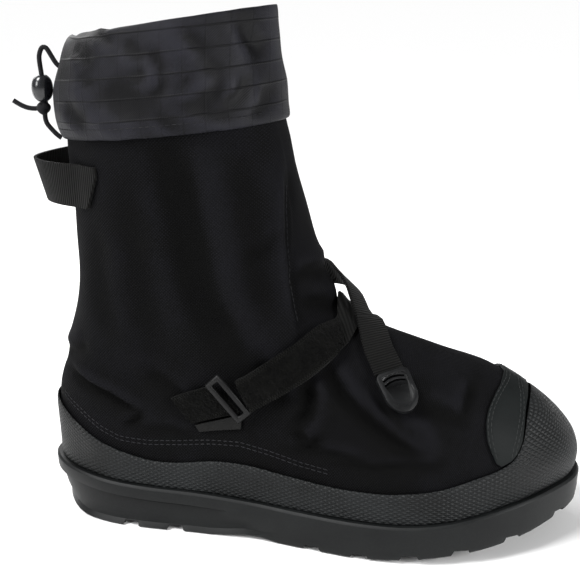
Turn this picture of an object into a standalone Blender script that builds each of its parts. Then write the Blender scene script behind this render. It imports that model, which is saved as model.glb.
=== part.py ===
"""Winter overshoe: a tall waterproof fabric boot on a lugged rubber sole.

The right shoe of a pair, standing empty. X runs to the toe, Z up, and the outer
side of the foot is at -Y. The origin is on the floor, under the heel.
"""

from typing import NamedTuple

import bmesh
import bpy
import numpy as np

# Driving sizes, in metres
SOLE_LENGTH = 0.3165
BALL_WIDTH = 0.121
HEEL_WIDTH = 0.089
HEEL_BEARING = 0.0415
TOE_SWING = 0.008
HEEL_RIM_HEIGHT = 0.0288
BALL_RIM_HEIGHT = 0.0220
TOE_RIM_HEIGHT = 0.0375
BOTTOM_TOE_SPRING = 0.0200
ARCH_RISE = 0.0020
INSTEP_HEIGHT = 0.127
COLLAR_HEIGHT = 0.291
SHAFT_DEPTH = 0.136
SHAFT_WIDTH = 0.102

# Walls and the places where pieces meet
GAP = 0.0003
OVERLAY_GAP = 0.0008
WEBBING_LIFT = 0.0013
UPPER_WALL = 0.0020
RAND_THICKNESS = 0.0015
RIM_LEDGE = 0.0036
TRAY_DEPTH = 0.0095
INSOLE_THICKNESS = 0.0045
HEEL_BLOCK_STEP = 0.0026
BAND_HEIGHT = 0.0085
FLAP_STEP = 0.0014
CUFF_THICKNESS = 0.0015
PATCH_THICKNESS = 0.0012

# Tread
LUG_PITCH = 0.0275
LUG_NOTCH = 0.0100
LUG_DEPTH = 0.0030
TREAD_SPINE = 0.0160
HEEL_NOTCHES = 2
FOREFOOT_NOTCHES = 6

# Straps, ring, tab, loop and cord
STRAP_THICKNESS = 0.0016
HOOK_THICKNESS = 0.0028
ANCHOR_THICKNESS = 0.0022
RING_BAR = 0.0030
RING_LENGTH = 0.0285
RING_DEPTH = 0.0105
RING_SHIFT = 0.26
TAG_THICKNESS = 0.0012
FRONT_STRAP_WIDTH = 0.0170
FRONT_STRAP_THICKNESS = 0.0018
TAB_LENGTH = 0.0202
TAB_WIDTH = 0.0190
TAB_THICKNESS = 0.0036
LOOP_REACH = 0.0205
LOOP_FOOT_REACH = 0.0150
LOOP_TILT = 0.0060
LOOP_BAND = 0.0240
LOOP_THICKNESS = 0.0020
CORD_DIAMETER = 0.0027
LOCK_LENGTH = 0.0145
LOCK_DIAMETER = 0.0120
KNOT_DIAMETER = 0.0078
LOCK_ANGLE = 0.21

# How finely the curved pieces are divided
AROUND_SOLE = 96
AROUND_UPPER = 56
AROUND_CUFF = 40


class SoleRow(NamedTuple):
    """Half-widths of the sole at one place, as shares of a named width."""

    along: float
    outer: float
    inner: float
    width: float


SOLE_ROWS = (
    SoleRow(0.03, 0.247, 0.235, HEEL_WIDTH),
    SoleRow(0.08, 0.382, 0.368, HEEL_WIDTH),
    SoleRow(0.14, 0.466, 0.450, HEEL_WIDTH),
    SoleRow(0.22, 0.500, 0.480, HEEL_WIDTH),
    SoleRow(0.32, 0.506, 0.478, HEEL_WIDTH),
    SoleRow(0.42, 0.384, 0.338, BALL_WIDTH),
    SoleRow(0.52, 0.430, 0.366, BALL_WIDTH),
    SoleRow(0.61, 0.475, 0.430, BALL_WIDTH),
    SoleRow(0.69, 0.496, 0.474, BALL_WIDTH),
    SoleRow(0.77, 0.483, 0.494, BALL_WIDTH),
    SoleRow(0.85, 0.421, 0.462, BALL_WIDTH),
    SoleRow(0.91, 0.335, 0.392, BALL_WIDTH),
    SoleRow(0.96, 0.215, 0.262, BALL_WIDTH),
)


class LevelRow(NamedTuple):
    """Heights of the sole along its length, as shares of three named heights."""

    along: float
    rim: float
    bottom: float
    arch: float


LEVEL_ROWS = (
    LevelRow(0.00, HEEL_RIM_HEIGHT * 1.06, 0.0, 0.0),
    LevelRow(0.10, HEEL_RIM_HEIGHT, 0.0, 0.0),
    LevelRow(0.20, HEEL_RIM_HEIGHT * 0.94, 0.0, 0.0),
    LevelRow(0.36, BALL_RIM_HEIGHT * 1.14, 0.0, 0.0),
    LevelRow(0.385, BALL_RIM_HEIGHT * 1.11, 0.0, 1.0),
    LevelRow(0.44, BALL_RIM_HEIGHT * 1.05, 0.0, 1.0),
    LevelRow(0.465, BALL_RIM_HEIGHT * 1.03, 0.0, 0.0),
    LevelRow(0.60, BALL_RIM_HEIGHT, 0.0, 0.0),
    LevelRow(0.68, BALL_RIM_HEIGHT * 1.02, 0.09, 0.0),
    LevelRow(0.76, BALL_RIM_HEIGHT * 1.12, 0.24, 0.0),
    LevelRow(0.84, TOE_RIM_HEIGHT * 0.79, 0.42, 0.0),
    LevelRow(0.92, TOE_RIM_HEIGHT * 0.92, 0.68, 0.0),
    LevelRow(1.00, TOE_RIM_HEIGHT, 1.0, 0.0),
)


class Section(NamedTuple):
    """One section of the upper, a slanted ring from a back point to a front point.

    Back and front places are shares of the sole's length, measured from its back
    end, or of the shaft's depth, measured from the section's own back point. A
    level is a height: 0 is the floor, 1 the instep and 2 the collar. The widths
    are half-widths at STATIONS, as shares of the named width.
    """

    back: float
    back_level: float
    front: float
    front_level: float
    outer: tuple
    inner: tuple
    width: float
    roundness: float
    shaft: bool


STATIONS = (0.10, 0.30, 0.50, 0.70, 0.90)

FOOT = BALL_WIDTH
SHAFT = SHAFT_WIDTH
SECTIONS = (
    Section(0.0190, 0.39, 0.9870, 0.405, (0.289, 0.334, 0.386, 0.448, 0.352),
            (0.277, 0.316, 0.346, 0.430, 0.376), FOOT, 0.88, False),
    Section(0.0156, 0.55, 0.9640, 0.510, (0.274, 0.326, 0.378, 0.425, 0.330),
            (0.266, 0.312, 0.345, 0.412, 0.352), FOOT, 0.90, False),
    Section(0.0230, 0.66, 0.9230, 0.612, (0.262, 0.322, 0.366, 0.388, 0.290),
            (0.258, 0.310, 0.344, 0.380, 0.308), FOOT, 0.94, False),
    Section(0.0324, 0.72, 0.8790, 0.698, (0.256, 0.322, 0.354, 0.350, 0.245),
            (0.254, 0.314, 0.342, 0.346, 0.258), FOOT, 0.97, False),
    Section(0.0362, 0.79, 0.8280, 0.765, (0.250, 0.326, 0.342, 0.312, 0.206),
            (0.250, 0.320, 0.336, 0.310, 0.214), FOOT, 1.00, False),
    Section(0.0430, 0.85, 0.7480, 0.829, (0.248, 0.332, 0.342, 0.290, 0.182),
            (0.248, 0.328, 0.338, 0.290, 0.188), FOOT, 1.00, False),
    Section(0.0497, 0.90, 0.6620, 0.906, (0.250, 0.340, 0.346, 0.288, 0.176),
            (0.250, 0.336, 0.344, 0.288, 0.180), FOOT, 1.00, False),
    Section(0.0568, 0.965, 0.5850, 0.985, (0.250, 0.346, 0.354, 0.304, 0.176),
            (0.250, 0.342, 0.352, 0.304, 0.178), FOOT, 1.00, False),
    Section(0.0647, 1.045, 1.120, 1.070, (0.300, 0.426, 0.440, 0.386, 0.226),
            (0.300, 0.424, 0.438, 0.386, 0.226), SHAFT, 1.00, True),
    Section(0.0721, 1.140, 1.066, 1.160, (0.298, 0.436, 0.458, 0.406, 0.246),
            (0.298, 0.436, 0.458, 0.406, 0.246), SHAFT, 1.00, True),
    Section(0.0701, 1.265, 1.028, 1.250, (0.298, 0.446, 0.476, 0.426, 0.266),
            (0.298, 0.446, 0.476, 0.426, 0.266), SHAFT, 1.00, True),
    Section(0.0700, 1.415, 0.964, 1.405, (0.302, 0.456, 0.494, 0.446, 0.288),
            (0.302, 0.456, 0.494, 0.446, 0.288), SHAFT, 1.00, True),
    Section(0.0654, 1.540, 0.956, 1.550, (0.304, 0.462, 0.502, 0.458, 0.298),
            (0.304, 0.462, 0.502, 0.458, 0.298), SHAFT, 1.00, True),
    Section(0.0655, 1.690, 0.886, 1.705, (0.304, 0.460, 0.500, 0.458, 0.300),
            (0.304, 0.460, 0.500, 0.458, 0.300), SHAFT, 1.00, True),
    Section(0.0772, 1.780, 0.846, 1.855, (0.302, 0.452, 0.490, 0.450, 0.296),
            (0.302, 0.452, 0.490, 0.450, 0.296), SHAFT, 1.00, True),
)


class CuffRow(NamedTuple):
    """One ring of the folded cuff: its back and front points and its width."""

    back: float
    back_level: float
    front: float
    front_level: float
    width: float


CUFF_ROWS = (
    CuffRow(0.0560, 1.598, 0.9520, 1.672, 1.090),
    CuffRow(0.0440, 1.662, 0.9680, 1.742, 1.125),
    CuffRow(0.0450, 1.752, 0.9520, 1.836, 1.115),
    CuffRow(0.0570, 1.842, 0.9020, 1.930, 1.080),
    CuffRow(0.0740, 1.906, 0.8600, 2.000, 1.040),
    CuffRow(0.0860, 1.930, 0.8260, 2.034, 1.000),
    CuffRow(0.1000, 1.912, 0.7860, 2.018, 0.945),
    CuffRow(0.1020, 1.830, 0.7760, 1.935, 0.930),
)


class EdgeRow(NamedTuple):
    """Height of the rand's top edge at a share of a ring, back to front."""

    share: float
    level: float


RAND_EDGE = (
    EdgeRow(0.000, 0.540),
    EdgeRow(0.030, 0.500),
    EdgeRow(0.072, 0.445),
    EdgeRow(0.106, 0.405),
    EdgeRow(0.154, 0.368),
    EdgeRow(0.206, 0.340),
    EdgeRow(0.240, 0.330),
    EdgeRow(0.280, 0.336),
    EdgeRow(0.324, 0.358),
    EdgeRow(0.376, 0.368),
    EdgeRow(0.425, 0.357),
    EdgeRow(0.461, 0.345),
    EdgeRow(0.520, 0.322),
    EdgeRow(0.582, 0.309),
    EdgeRow(0.637, 0.311),
    EdgeRow(0.692, 0.320),
    EdgeRow(0.740, 0.336),
    EdgeRow(0.764, 0.348),
    EdgeRow(0.805, 0.381),
    EdgeRow(0.840, 0.408),
    EdgeRow(0.889, 0.452),
    EdgeRow(0.914, 0.497),
    EdgeRow(0.942, 0.558),
    EdgeRow(0.972, 0.616),
    EdgeRow(1.000, 0.655),
)


class PatchRow(NamedTuple):
    """Rear and front edge of the toe patch, from its side corner to the ridge."""

    rear_share: float
    rear_level: float
    front_share: float
    front_level: float


PATCH_ROWS = (
    PatchRow(0.860, 0.456, 0.867, 0.443),
    PatchRow(0.862, 0.520, 0.889, 0.462),
    PatchRow(0.880, 0.590, 0.914, 0.507),
    PatchRow(0.908, 0.645, 0.942, 0.570),
    PatchRow(0.951, 0.695, 0.972, 0.628),
    PatchRow(1.000, 0.735, 1.000, 0.668),
)


class StrapRow(NamedTuple):
    """Upper and lower edge of the instep strap, as shares of length and level."""

    upper: float
    upper_level: float
    lower: float
    lower_level: float


ANCHOR_ROWS = (
    StrapRow(0.272, 0.645, 0.311, 0.537),
    StrapRow(0.310, 0.688, 0.356, 0.575),
    StrapRow(0.349, 0.728, 0.400, 0.610),
)
HOOK_ROWS = (
    StrapRow(0.3945, 0.761, 0.4250, 0.630),
    StrapRow(0.4300, 0.817, 0.4650, 0.690),
    StrapRow(0.4655, 0.872, 0.4997, 0.742),
    StrapRow(0.5000, 0.925, 0.5270, 0.785),
    StrapRow(0.5300, 0.971, 0.5500, 0.828),
    StrapRow(0.5540, 0.985, 0.5697, 0.880),
)
RIDGE_LOWER = 0.975
RIDGE_UPPER = 1.060
TAG_ROWS = (
    StrapRow(0.3155, 0.528, 0.3240, 0.497),
    StrapRow(0.3600, 0.566, 0.3640, 0.517),
    StrapRow(0.4040, 0.602, 0.4025, 0.534),
)


def smooth_value(places, values, at):
    """Smooth curve through a table that never overshoots its rows."""
    places = np.asarray(places, float)
    values = np.asarray(values, float)
    at = np.clip(np.asarray(at, float), places[0], places[-1])
    step = np.diff(places)
    slope = np.diff(values) / step
    tangent = np.zeros(len(places))
    same = slope[:-1] * slope[1:] > 0
    first = 2 * step[1:] + step[:-1]
    second = step[1:] + 2 * step[:-1]
    safe = np.where(same, slope[:-1], 1.0), np.where(same, slope[1:], 1.0)
    tangent[1:-1] = np.where(same, (first + second) / (first / safe[0] + second / safe[1]), 0.0)
    tangent[0] = slope[0]
    tangent[-1] = slope[-1]
    cell = np.clip(np.searchsorted(places, at, side="right") - 1, 0, len(step) - 1)
    share = (at - places[cell]) / step[cell]
    rise = values[cell + 1] - values[cell]
    ease = share * share * (3 - 2 * share)
    lead = share * (1 - share) ** 2 * tangent[cell] * step[cell]
    trail = share * share * (share - 1) * tangent[cell + 1] * step[cell]
    return values[cell] + ease * rise + lead + trail


def smooth_step(value):
    """Ease from 0 to 1 as the value goes from 0 to 1."""
    value = np.clip(value, 0.0, 1.0)
    return value * value * (3 - 2 * value)


def ring_angles(count):
    """Angles around a ring: 0 at the back, a half turn at the front."""
    return np.arange(count) * 2 * np.pi / count


def share_at(angle):
    """Share of a ring's length, back to front, at an angle."""
    return (1 - np.cos(angle)) / 2


def angle_at(share):
    """Angle on the outer side at a share of a ring's length."""
    return np.arccos(1 - 2 * np.asarray(share, float))


def sole_x(share):
    """Place along X of a share of the sole's length."""
    return share * SOLE_LENGTH - HEEL_BEARING


def swing(x):
    """How far the middle of the foot turns to the inner side."""
    share = (x + HEEL_BEARING) / SOLE_LENGTH
    return TOE_SWING * np.clip((share - 0.5) / 0.5, 0.0, 1.0) ** 2


def height_at(level):
    """Height of a level: 0 the floor, 1 the instep, 2 the collar."""
    level = np.asarray(level, float)
    above = np.clip(level - 1, 0.0, None) * (COLLAR_HEIGHT - INSTEP_HEIGHT)
    return np.clip(level, None, 1.0) * INSTEP_HEIGHT + above


def sole_outline(angle, inset=0.0):
    """Plan points of the sole's outline, moved inwards by an inset."""

    def outline(at):
        share = share_at(at)
        along = [row.along for row in SOLE_ROWS]
        reach = np.sin([angle_at(place) for place in along])
        outer = [row.outer * row.width for row in SOLE_ROWS] / reach
        inner = [row.inner * row.width for row in SOLE_ROWS] / reach
        side = np.where(np.sin(at) >= 0, smooth_value(along, outer, share),
                        smooth_value(along, inner, share))
        x = sole_x(share)
        return np.stack([x, swing(x) - side * np.sin(at)], -1)

    angle = np.asarray(angle, float)
    point = outline(angle)
    ahead = outline(angle + 0.01) - outline(angle - 0.01)
    normal = np.stack([ahead[..., 1], -ahead[..., 0]], -1)
    normal /= np.linalg.norm(normal, axis=-1, keepdims=True)
    return point - normal * np.asarray(inset)[..., None]


def rim_height(x):
    """Height of the sole's rim at a place along it."""
    share = (x + HEEL_BEARING) / SOLE_LENGTH
    return smooth_value([row.along for row in LEVEL_ROWS], [row.rim for row in LEVEL_ROWS], share)


def bottom_height(x):
    """Height of the tread's surface: flat, with an arch and a toe spring."""
    share = (x + HEEL_BEARING) / SOLE_LENGTH
    along = [row.along for row in LEVEL_ROWS]
    spring = smooth_value(along, [row.bottom for row in LEVEL_ROWS], share)
    arch = smooth_value(along, [row.arch for row in LEVEL_ROWS], share)
    return spring * BOTTOM_TOE_SPRING + arch * ARCH_RISE


def ledge_height(angle):
    """Height just above the sole's ledge, at an angle around its outline."""
    return rim_height(sole_outline(angle)[..., 0]) + GAP


def upper_inset():
    """Distance from the sole's outline to the upper's outer face."""
    return RIM_LEDGE + RAND_THICKNESS + GAP


def base_ring(angle):
    """Lowest ring of the upper, standing on the sole's ledge."""
    plan = sole_outline(angle, upper_inset())
    return np.concatenate([plan, ledge_height(angle)[..., None]], -1)


def section_ring(section, angle):
    """Points of one slanted section of the upper."""
    share = share_at(angle)
    back_x = sole_x(section.back)
    if section.shaft:
        front_x = back_x + section.front * SHAFT_DEPTH
    else:
        front_x = sole_x(section.front)
    x = back_x + share * (front_x - back_x)
    low = height_at(section.back_level)
    z = low + share * (height_at(section.front_level) - low)
    reach = np.sin(angle_at(np.array(STATIONS))) ** section.roundness
    outer = np.array(section.outer) * section.width / reach
    inner = np.array(section.inner) * section.width / reach
    sine = np.sin(angle)
    side = np.where(sine >= 0, smooth_value(STATIONS, outer, share),
                    smooth_value(STATIONS, inner, share))
    y = swing(x) - side * np.sign(sine) * np.abs(sine) ** section.roundness
    return np.stack([x, y, z], -1)


def upper_points(angle, station):
    """Points of the upper's outer face; a station counts its sections from 0."""
    angle, station = np.broadcast_arrays(np.asarray(angle, float), np.asarray(station, float))
    rings = [base_ring(angle)] + [section_ring(row, angle) for row in SECTIONS]
    rings = np.stack(rings)
    count = len(rings)
    station = np.clip(station, 0.0, count - 1.0)
    low = np.clip(np.floor(station).astype(int), 0, count - 2)
    part = (station - low)[..., None]

    def ring(index):
        chosen = np.clip(index, 0, count - 1)
        return np.take_along_axis(rings, chosen[None, ..., None], 0)[0]

    before, start, end, after = ring(low - 1), ring(low), ring(low + 1), ring(low + 2)
    rise_start = np.where((low > 0)[..., None], (end - before) / 2, end - start)
    rise_end = np.where((low < count - 2)[..., None], (after - start) / 2, end - start)
    square, cube = part ** 2, part ** 3
    return ((2 * cube - 3 * square + 1) * start + (cube - 2 * square + part) * rise_start
            + (3 * square - 2 * cube) * end + (cube - square) * rise_end)


def upper_normals(angle, station):
    """Outward directions of the upper's face."""
    nudge = 0.02
    top = len(SECTIONS)
    around = upper_points(angle + nudge, station) - upper_points(angle - nudge, station)
    high = np.clip(station + nudge, 0, top)
    low = np.clip(station - nudge, 0, top)
    up = upper_points(angle, high) - upper_points(angle, low)
    normal = np.cross(around, up)
    return normal / np.linalg.norm(normal, axis=-1, keepdims=True)


def on_upper(angle, station, offset):
    """Points at a distance from the upper's outer face."""
    angle, station = np.broadcast_arrays(np.asarray(angle, float), np.asarray(station, float))
    offset = np.asarray(offset, float)[..., None]
    return upper_points(angle, station) + upper_normals(angle, station) * offset


def station_at(angle, height):
    """Station where the upper reaches a height, at each angle."""
    angle, height = np.broadcast_arrays(np.asarray(angle, float), np.asarray(height, float))
    low = np.zeros(angle.shape)
    high = np.full(angle.shape, float(len(SECTIONS)))
    for _ in range(30):
        middle = (low + high) / 2
        below = upper_points(angle, middle)[..., 2] < height
        low = np.where(below, middle, low)
        high = np.where(below, high, middle)
    return (low + high) / 2


def angle_for(x, height, side=1):
    """Angle on the outer (1) or inner (-1) side where the upper has this X."""
    x, height = np.broadcast_arrays(np.asarray(x, float), np.asarray(height, float))
    low = np.zeros(x.shape)
    high = np.full(x.shape, np.pi)
    for _ in range(30):
        middle = (low + high) / 2
        point = upper_points(side * middle, station_at(side * middle, height))
        behind = point[..., 0] < x
        low = np.where(behind, middle, low)
        high = np.where(behind, high, middle)
    return side * (low + high) / 2


def new_material(name, colour, roughness, metallic=0.0):
    """A plain material with the piece's colour."""
    material = bpy.data.materials.new(name)
    material.use_nodes = True
    shader = material.node_tree.nodes["Principled BSDF"]
    shader.inputs["Base Color"].default_value = (*colour, 1.0)
    shader.inputs["Roughness"].default_value = roughness
    shader.inputs["Metallic"].default_value = metallic
    return material


def add_object(name, mesh, collection, material=None):
    """Put a mesh in the scene, smooth over its gentle edges."""
    mesh.shade_smooth()
    mesh.set_sharp_from_angle(angle=np.radians(38))
    item = bpy.data.objects.new(name, mesh)
    collection.objects.link(item)
    if material:
        mesh.materials.append(material)
    return item


def add_faces(name, points, faces, collection, material=None):
    """An object from points and faces, with its faces turned outwards."""
    mesh = bpy.data.meshes.new(name)
    mesh.from_pydata([tuple(point) for point in points], [], faces)
    shape = bmesh.new()
    shape.from_mesh(mesh)
    bmesh.ops.remove_doubles(shape, verts=shape.verts, dist=1e-6)
    bmesh.ops.recalc_face_normals(shape, faces=shape.faces)
    shape.to_mesh(mesh)
    shape.free()
    return add_object(name, mesh, collection, material)


def loop_faces(rows, columns, close_rows):
    """Quads over a grid whose columns close on themselves."""
    faces = []
    for row in range(rows if close_rows else rows - 1):
        above = (row + 1) % rows
        for column in range(columns):
            after = (column + 1) % columns
            faces.append((row * columns + column, row * columns + after,
                          above * columns + after, above * columns + column))
    return faces


def ladder_faces(start, columns):
    """A cap over one ring, laid across it from the outer to the inner side."""
    faces = []
    half = columns // 2
    for column in range(half):
        left = start + (columns - column) % columns
        right = start + column
        corners = (right, right + 1, start + columns - column - 1, left)
        faces.append(tuple(dict.fromkeys(corners)))
    return faces


def closed_rings(name, rings, collection, material=None):
    """A solid from rings whose last meets the first, like a hollow wall."""
    rings = np.asarray(rings)
    faces = loop_faces(rings.shape[0], rings.shape[1], True)
    return add_faces(name, rings.reshape(-1, 3), faces, collection, material)


def capped_rings(name, rings, collection, material=None):
    """A solid from rings, closed across its first and its last one."""
    rings = np.asarray(rings)
    rows, columns = rings.shape[:2]
    faces = loop_faces(rows, columns, False)
    faces += ladder_faces(0, columns) + ladder_faces((rows - 1) * columns, columns)
    return add_faces(name, rings.reshape(-1, 3), faces, collection, material)


def band(name, low, high, inner, outer, collection, material=None, steps=3):
    """A strip on the upper between two edges, each an angle and a station."""
    (low_angle, low_station), (high_angle, high_station) = low, high
    share = np.linspace(0.0, 1.0, steps)[:, None]
    angle = low_angle + share * (high_angle - low_angle)
    station = low_station + share * (high_station - low_station)
    under = on_upper(angle, station, np.full(angle.shape, inner))
    over = on_upper(angle, station, np.full(angle.shape, outer))
    rings = np.concatenate([under, over[::-1]], 0).transpose(1, 0, 2)
    return capped_strip(name, rings, collection, material)


def capped_strip(name, rings, collection, material=None):
    """A strip from its cross-sections, with a face at each end."""
    rings = np.asarray(rings)
    rows, columns = rings.shape[:2]
    faces = loop_faces(rows, columns, False)
    faces.append(tuple(range(columns)))
    faces.append(tuple((rows - 1) * columns + column for column in range(columns)))
    return add_faces(name, rings.reshape(-1, 3), faces, collection, material)


def heel_block(x, height):
    """How much of the heel's step there is under the band, 1 at the back."""
    arc_top = sole_x(0.355)
    arc_foot = sole_x(0.462)
    rise = np.clip(height / (BALL_RIM_HEIGHT * 0.85), 0.0, 1.0)
    edge = arc_foot + (arc_top - arc_foot) * rise ** 1.6
    return smooth_step((edge - x) / (SOLE_LENGTH * 0.030))


def sole_rings(angle):
    """Rings of the sole from the tread's edge, up its side, into the tray."""
    plan = sole_outline(angle)
    x = plan[:, 0]
    low = bottom_height(x)
    rim = rim_height(x)
    under_band = rim - BAND_HEIGHT
    back = smooth_step((sole_x(0.10) - x) / (SOLE_LENGTH * 0.10))
    rings = []

    def ring(height, inset):
        rings.append(np.column_stack([sole_outline(angle, inset), height]))

    ring(low, 0.0022 + 0.0080 * back)
    ring(low + 0.0010 + 0.0012 * back, 0.0012 + 0.0062 * back)
    ring(low + 0.0034 + 0.0030 * back, 0.0009 + 0.0040 * back + HEEL_BLOCK_STEP * heel_block(x, low + 0.003))
    middle = (low + under_band) / 2
    ring(middle, 0.0007 + 0.0022 * back + HEEL_BLOCK_STEP * heel_block(x, middle))
    ring(under_band - 0.0012, 0.0004 + HEEL_BLOCK_STEP * heel_block(x, under_band))
    ring(under_band - 0.0002, 0.0004 + (HEEL_BLOCK_STEP + 0.0006) * heel_block(x, under_band))
    ring(under_band + 0.0006, np.full(len(x), 0.0004))
    ring(rim - 0.0013, np.full(len(x), 0.0))
    ring(rim, np.full(len(x), 0.0011))
    inside = upper_inset() + UPPER_WALL + 0.0008
    ring(rim, np.full(len(x), inside))
    ring(rim - TRAY_DEPTH, np.full(len(x), inside + 0.0004))
    return rings


def notch_cutter(centre, side, depth_at, collection_points, collection_faces):
    """One tread groove from the sole's side to its spine, slanted to the toe."""
    angle = angle_at(np.clip((centre + HEEL_BEARING) / SOLE_LENGTH, 0.0, 1.0)) * side
    edge = sole_outline(np.array([angle]))[0]
    before = sole_outline(np.array([angle - 0.02 * side]))[0]
    after = sole_outline(np.array([angle + 0.02 * side]))[0]
    run = (after - before) / np.linalg.norm(after - before)
    if run[0] < 0:
        run = -run
    out = np.array([run[1], -run[0]]) * side
    start = edge + out * 0.006
    spine = np.array([edge[0] - 0.25 * out[0] * BALL_WIDTH, swing(edge[0]) - side * TREAD_SPINE / 2])
    ground = depth_at
    first = len(collection_points)
    for end in (start, spine):
        for half, height in ((LUG_NOTCH / 2 + 0.0030, ground - 0.0060),
                             (LUG_NOTCH / 2 - 0.0010, ground + LUG_DEPTH)):
            for way in (-1, 1):
                place = end + run * half * way
                collection_points.append((place[0], place[1], height))
    corners = ((0, 1, 3, 2), (4, 6, 7, 5), (0, 4, 5, 1), (2, 3, 7, 6), (0, 2, 6, 4), (1, 5, 7, 3))
    collection_faces += [tuple(first + corner for corner in face) for face in corners]


def notch_places():
    """Where the grooves are along the sole: behind and before the arch."""
    heel = [sole_x(0.187) + LUG_PITCH * step for step in range(HEEL_NOTCHES)]
    fore = [sole_x(0.533) + LUG_PITCH * step for step in range(FOREFOOT_NOTCHES)]
    return [place for place in heel + fore if place < sole_x(0.97)]


def build_outsole(parts, cutters, material):
    """Rubber outsole with its rim band, heel block, tray and tread grooves."""
    outsole = capped_rings("outsole", sole_rings(ring_angles(AROUND_SOLE)), parts, material)
    points, faces = [], []
    for place in notch_places():
        for side in (1, -1):
            notch_cutter(place, side, float(bottom_height(place)), points, faces)
    grooves = add_faces("tread_grooves", points, faces, cutters)
    grooves.hide_render = True
    grooves.display_type = "WIRE"
    cut = outsole.modifiers.new("tread grooves", "BOOLEAN")
    cut.operation = "DIFFERENCE"
    cut.solver = "EXACT"
    cut.object = grooves
    return outsole


def build_insole(parts, material):
    """Flat foam insole lying in the sole's tray."""
    angle = ring_angles(48)
    inset = upper_inset() + UPPER_WALL + 0.0008 + 0.0014
    rings = []
    for lift, tuck in ((0.0, 0.0006), (0.0008, 0.0), (1.0, 0.0), (1.0, 0.0008)):
        plan = sole_outline(angle, inset + tuck)
        base = ledge_height(angle) - TRAY_DEPTH + 0.0002
        height = base + (lift if lift < 1.0 else INSOLE_THICKNESS)
        rings.append(np.column_stack([plan, height]))
    rings[3][:, 2] += 0.0004
    return capped_rings("insole", rings, parts, material)


def flap_angle(station):
    """Angle of the flap's front edge at each station of the shaft."""
    stations = (5.0, 7.0, 8.0, 9.0, 10.0, 11.0, 12.0, 13.0, 15.0)
    angles = (1.90, 2.07, 2.26, 2.42, 2.47, 2.62, 2.80, 2.86, 2.88)
    return smooth_value(stations, angles, station)


def flap_raise(angle, station):
    """Height of the flap's step, which fades to the back and to the foot."""
    edge = flap_angle(station)
    near = smooth_step((angle - 1.2) / (edge - 1.2))
    tall = smooth_step((station - 6.0) / 2.0) * (1 - smooth_step(station - 12.6))
    return FLAP_STEP * near * tall * (angle <= edge) * (angle >= 0)


def build_upper(parts, material):
    """Fabric upper, one hollow wall from the sole to the collar."""
    stations = [0.0, 0.5, 1.0, 1.6, 2.2, 2.8, 3.4, 4.0, 4.6, 5.2, 5.8, 6.4, 7.0, 7.6, 8.2, 8.8,
                9.4, 10.2, 11.2, 12.4, 13.6, 15.0]
    base = ring_angles(AROUND_UPPER)
    edge_column = int(round(2.42 / (2 * np.pi) * AROUND_UPPER))
    rings = []
    for station in stations:
        edge = float(flap_angle(station))
        anchors = (0.0, base[edge_column], base[edge_column + 1], np.pi, 2 * np.pi)
        places = (0.0, edge - 0.002, edge + 0.022, np.pi, 2 * np.pi)
        gather = smooth_step((station - 5.0) / 2.5)
        angle = base + gather * (np.interp(base, anchors, places) - base)
        at = np.full(len(angle), station)
        rings.append(on_upper(angle, at, flap_raise(angle, station)))
    for station in reversed(stations[::2] + [stations[-1]]):
        at = np.full(len(base), station)
        ring = on_upper(base, at, np.full(len(base), -UPPER_WALL))
        ring[:, 2] = np.maximum(ring[:, 2], ledge_height(base))
        rings.append(ring)
    return closed_rings("upper", rings, parts, material)


def edge_stations(angle):
    """Station of the rand's top edge at each angle."""
    share = share_at(angle)
    level = smooth_value([row.share for row in RAND_EDGE], [row.level for row in RAND_EDGE], share)
    return station_at(angle, height_at(level))


def build_rand(parts, material):
    """Coated band around the foot, from the sole up to its waved top edge."""
    angle = ring_angles(AROUND_UPPER)
    top = edge_stations(angle)
    under, over = [], []
    for share in (0.0, 0.22, 0.38, 0.54, 0.75, 1.0):
        station = top * share
        under.append(on_upper(angle, station, np.full(len(angle), OVERLAY_GAP)))
        over.append(on_upper(angle, station, np.full(len(angle), OVERLAY_GAP + RAND_THICKNESS)))
    for ring in under + over:
        ring[:, 2] = np.maximum(ring[:, 2], ledge_height(angle) + GAP / 2)
    return closed_rings("rand", under + over[::-1], parts, material)


def build_toe_patch(parts, material):
    """Smooth almond patch over the toe, from corner to corner."""
    places = np.linspace(0.0, 1.0, len(PATCH_ROWS))
    at = np.linspace(0.0, 1.0, 12)
    rear_share = smooth_value(places, [row.rear_share for row in PATCH_ROWS], at)
    front_share = smooth_value(places, [row.front_share for row in PATCH_ROWS], at)
    rear_level = smooth_value(places, [row.rear_level for row in PATCH_ROWS], at)
    front_level = smooth_value(places, [row.front_level for row in PATCH_ROWS], at)
    rear_angle, front_angle = angle_at(rear_share), angle_at(front_share)
    rear_angle = np.concatenate([rear_angle, 2 * np.pi - rear_angle[-2::-1]])
    front_angle = np.concatenate([front_angle, 2 * np.pi - front_angle[-2::-1]])
    rear_level = np.concatenate([rear_level, rear_level[-2::-1]])
    front_level = np.concatenate([front_level, front_level[-2::-1]])
    rear = rear_angle, station_at(rear_angle, height_at(rear_level))
    front = front_angle, station_at(front_angle, height_at(front_level))
    return band("toe_patch", front, rear, OVERLAY_GAP, OVERLAY_GAP + PATCH_THICKNESS, parts,
                material, steps=5)


def cuff_ring(row, angle):
    """One ring of the cuff around the top of the shaft."""
    share = share_at(angle)
    back_x = sole_x(row.back)
    x = back_x + share * row.front * SHAFT_DEPTH
    low = height_at(row.back_level)
    z = low + share * (height_at(row.front_level) - low)
    y = -np.sin(angle) * row.width * SHAFT_WIDTH / 2
    return np.stack([x, y, z], -1)


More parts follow.
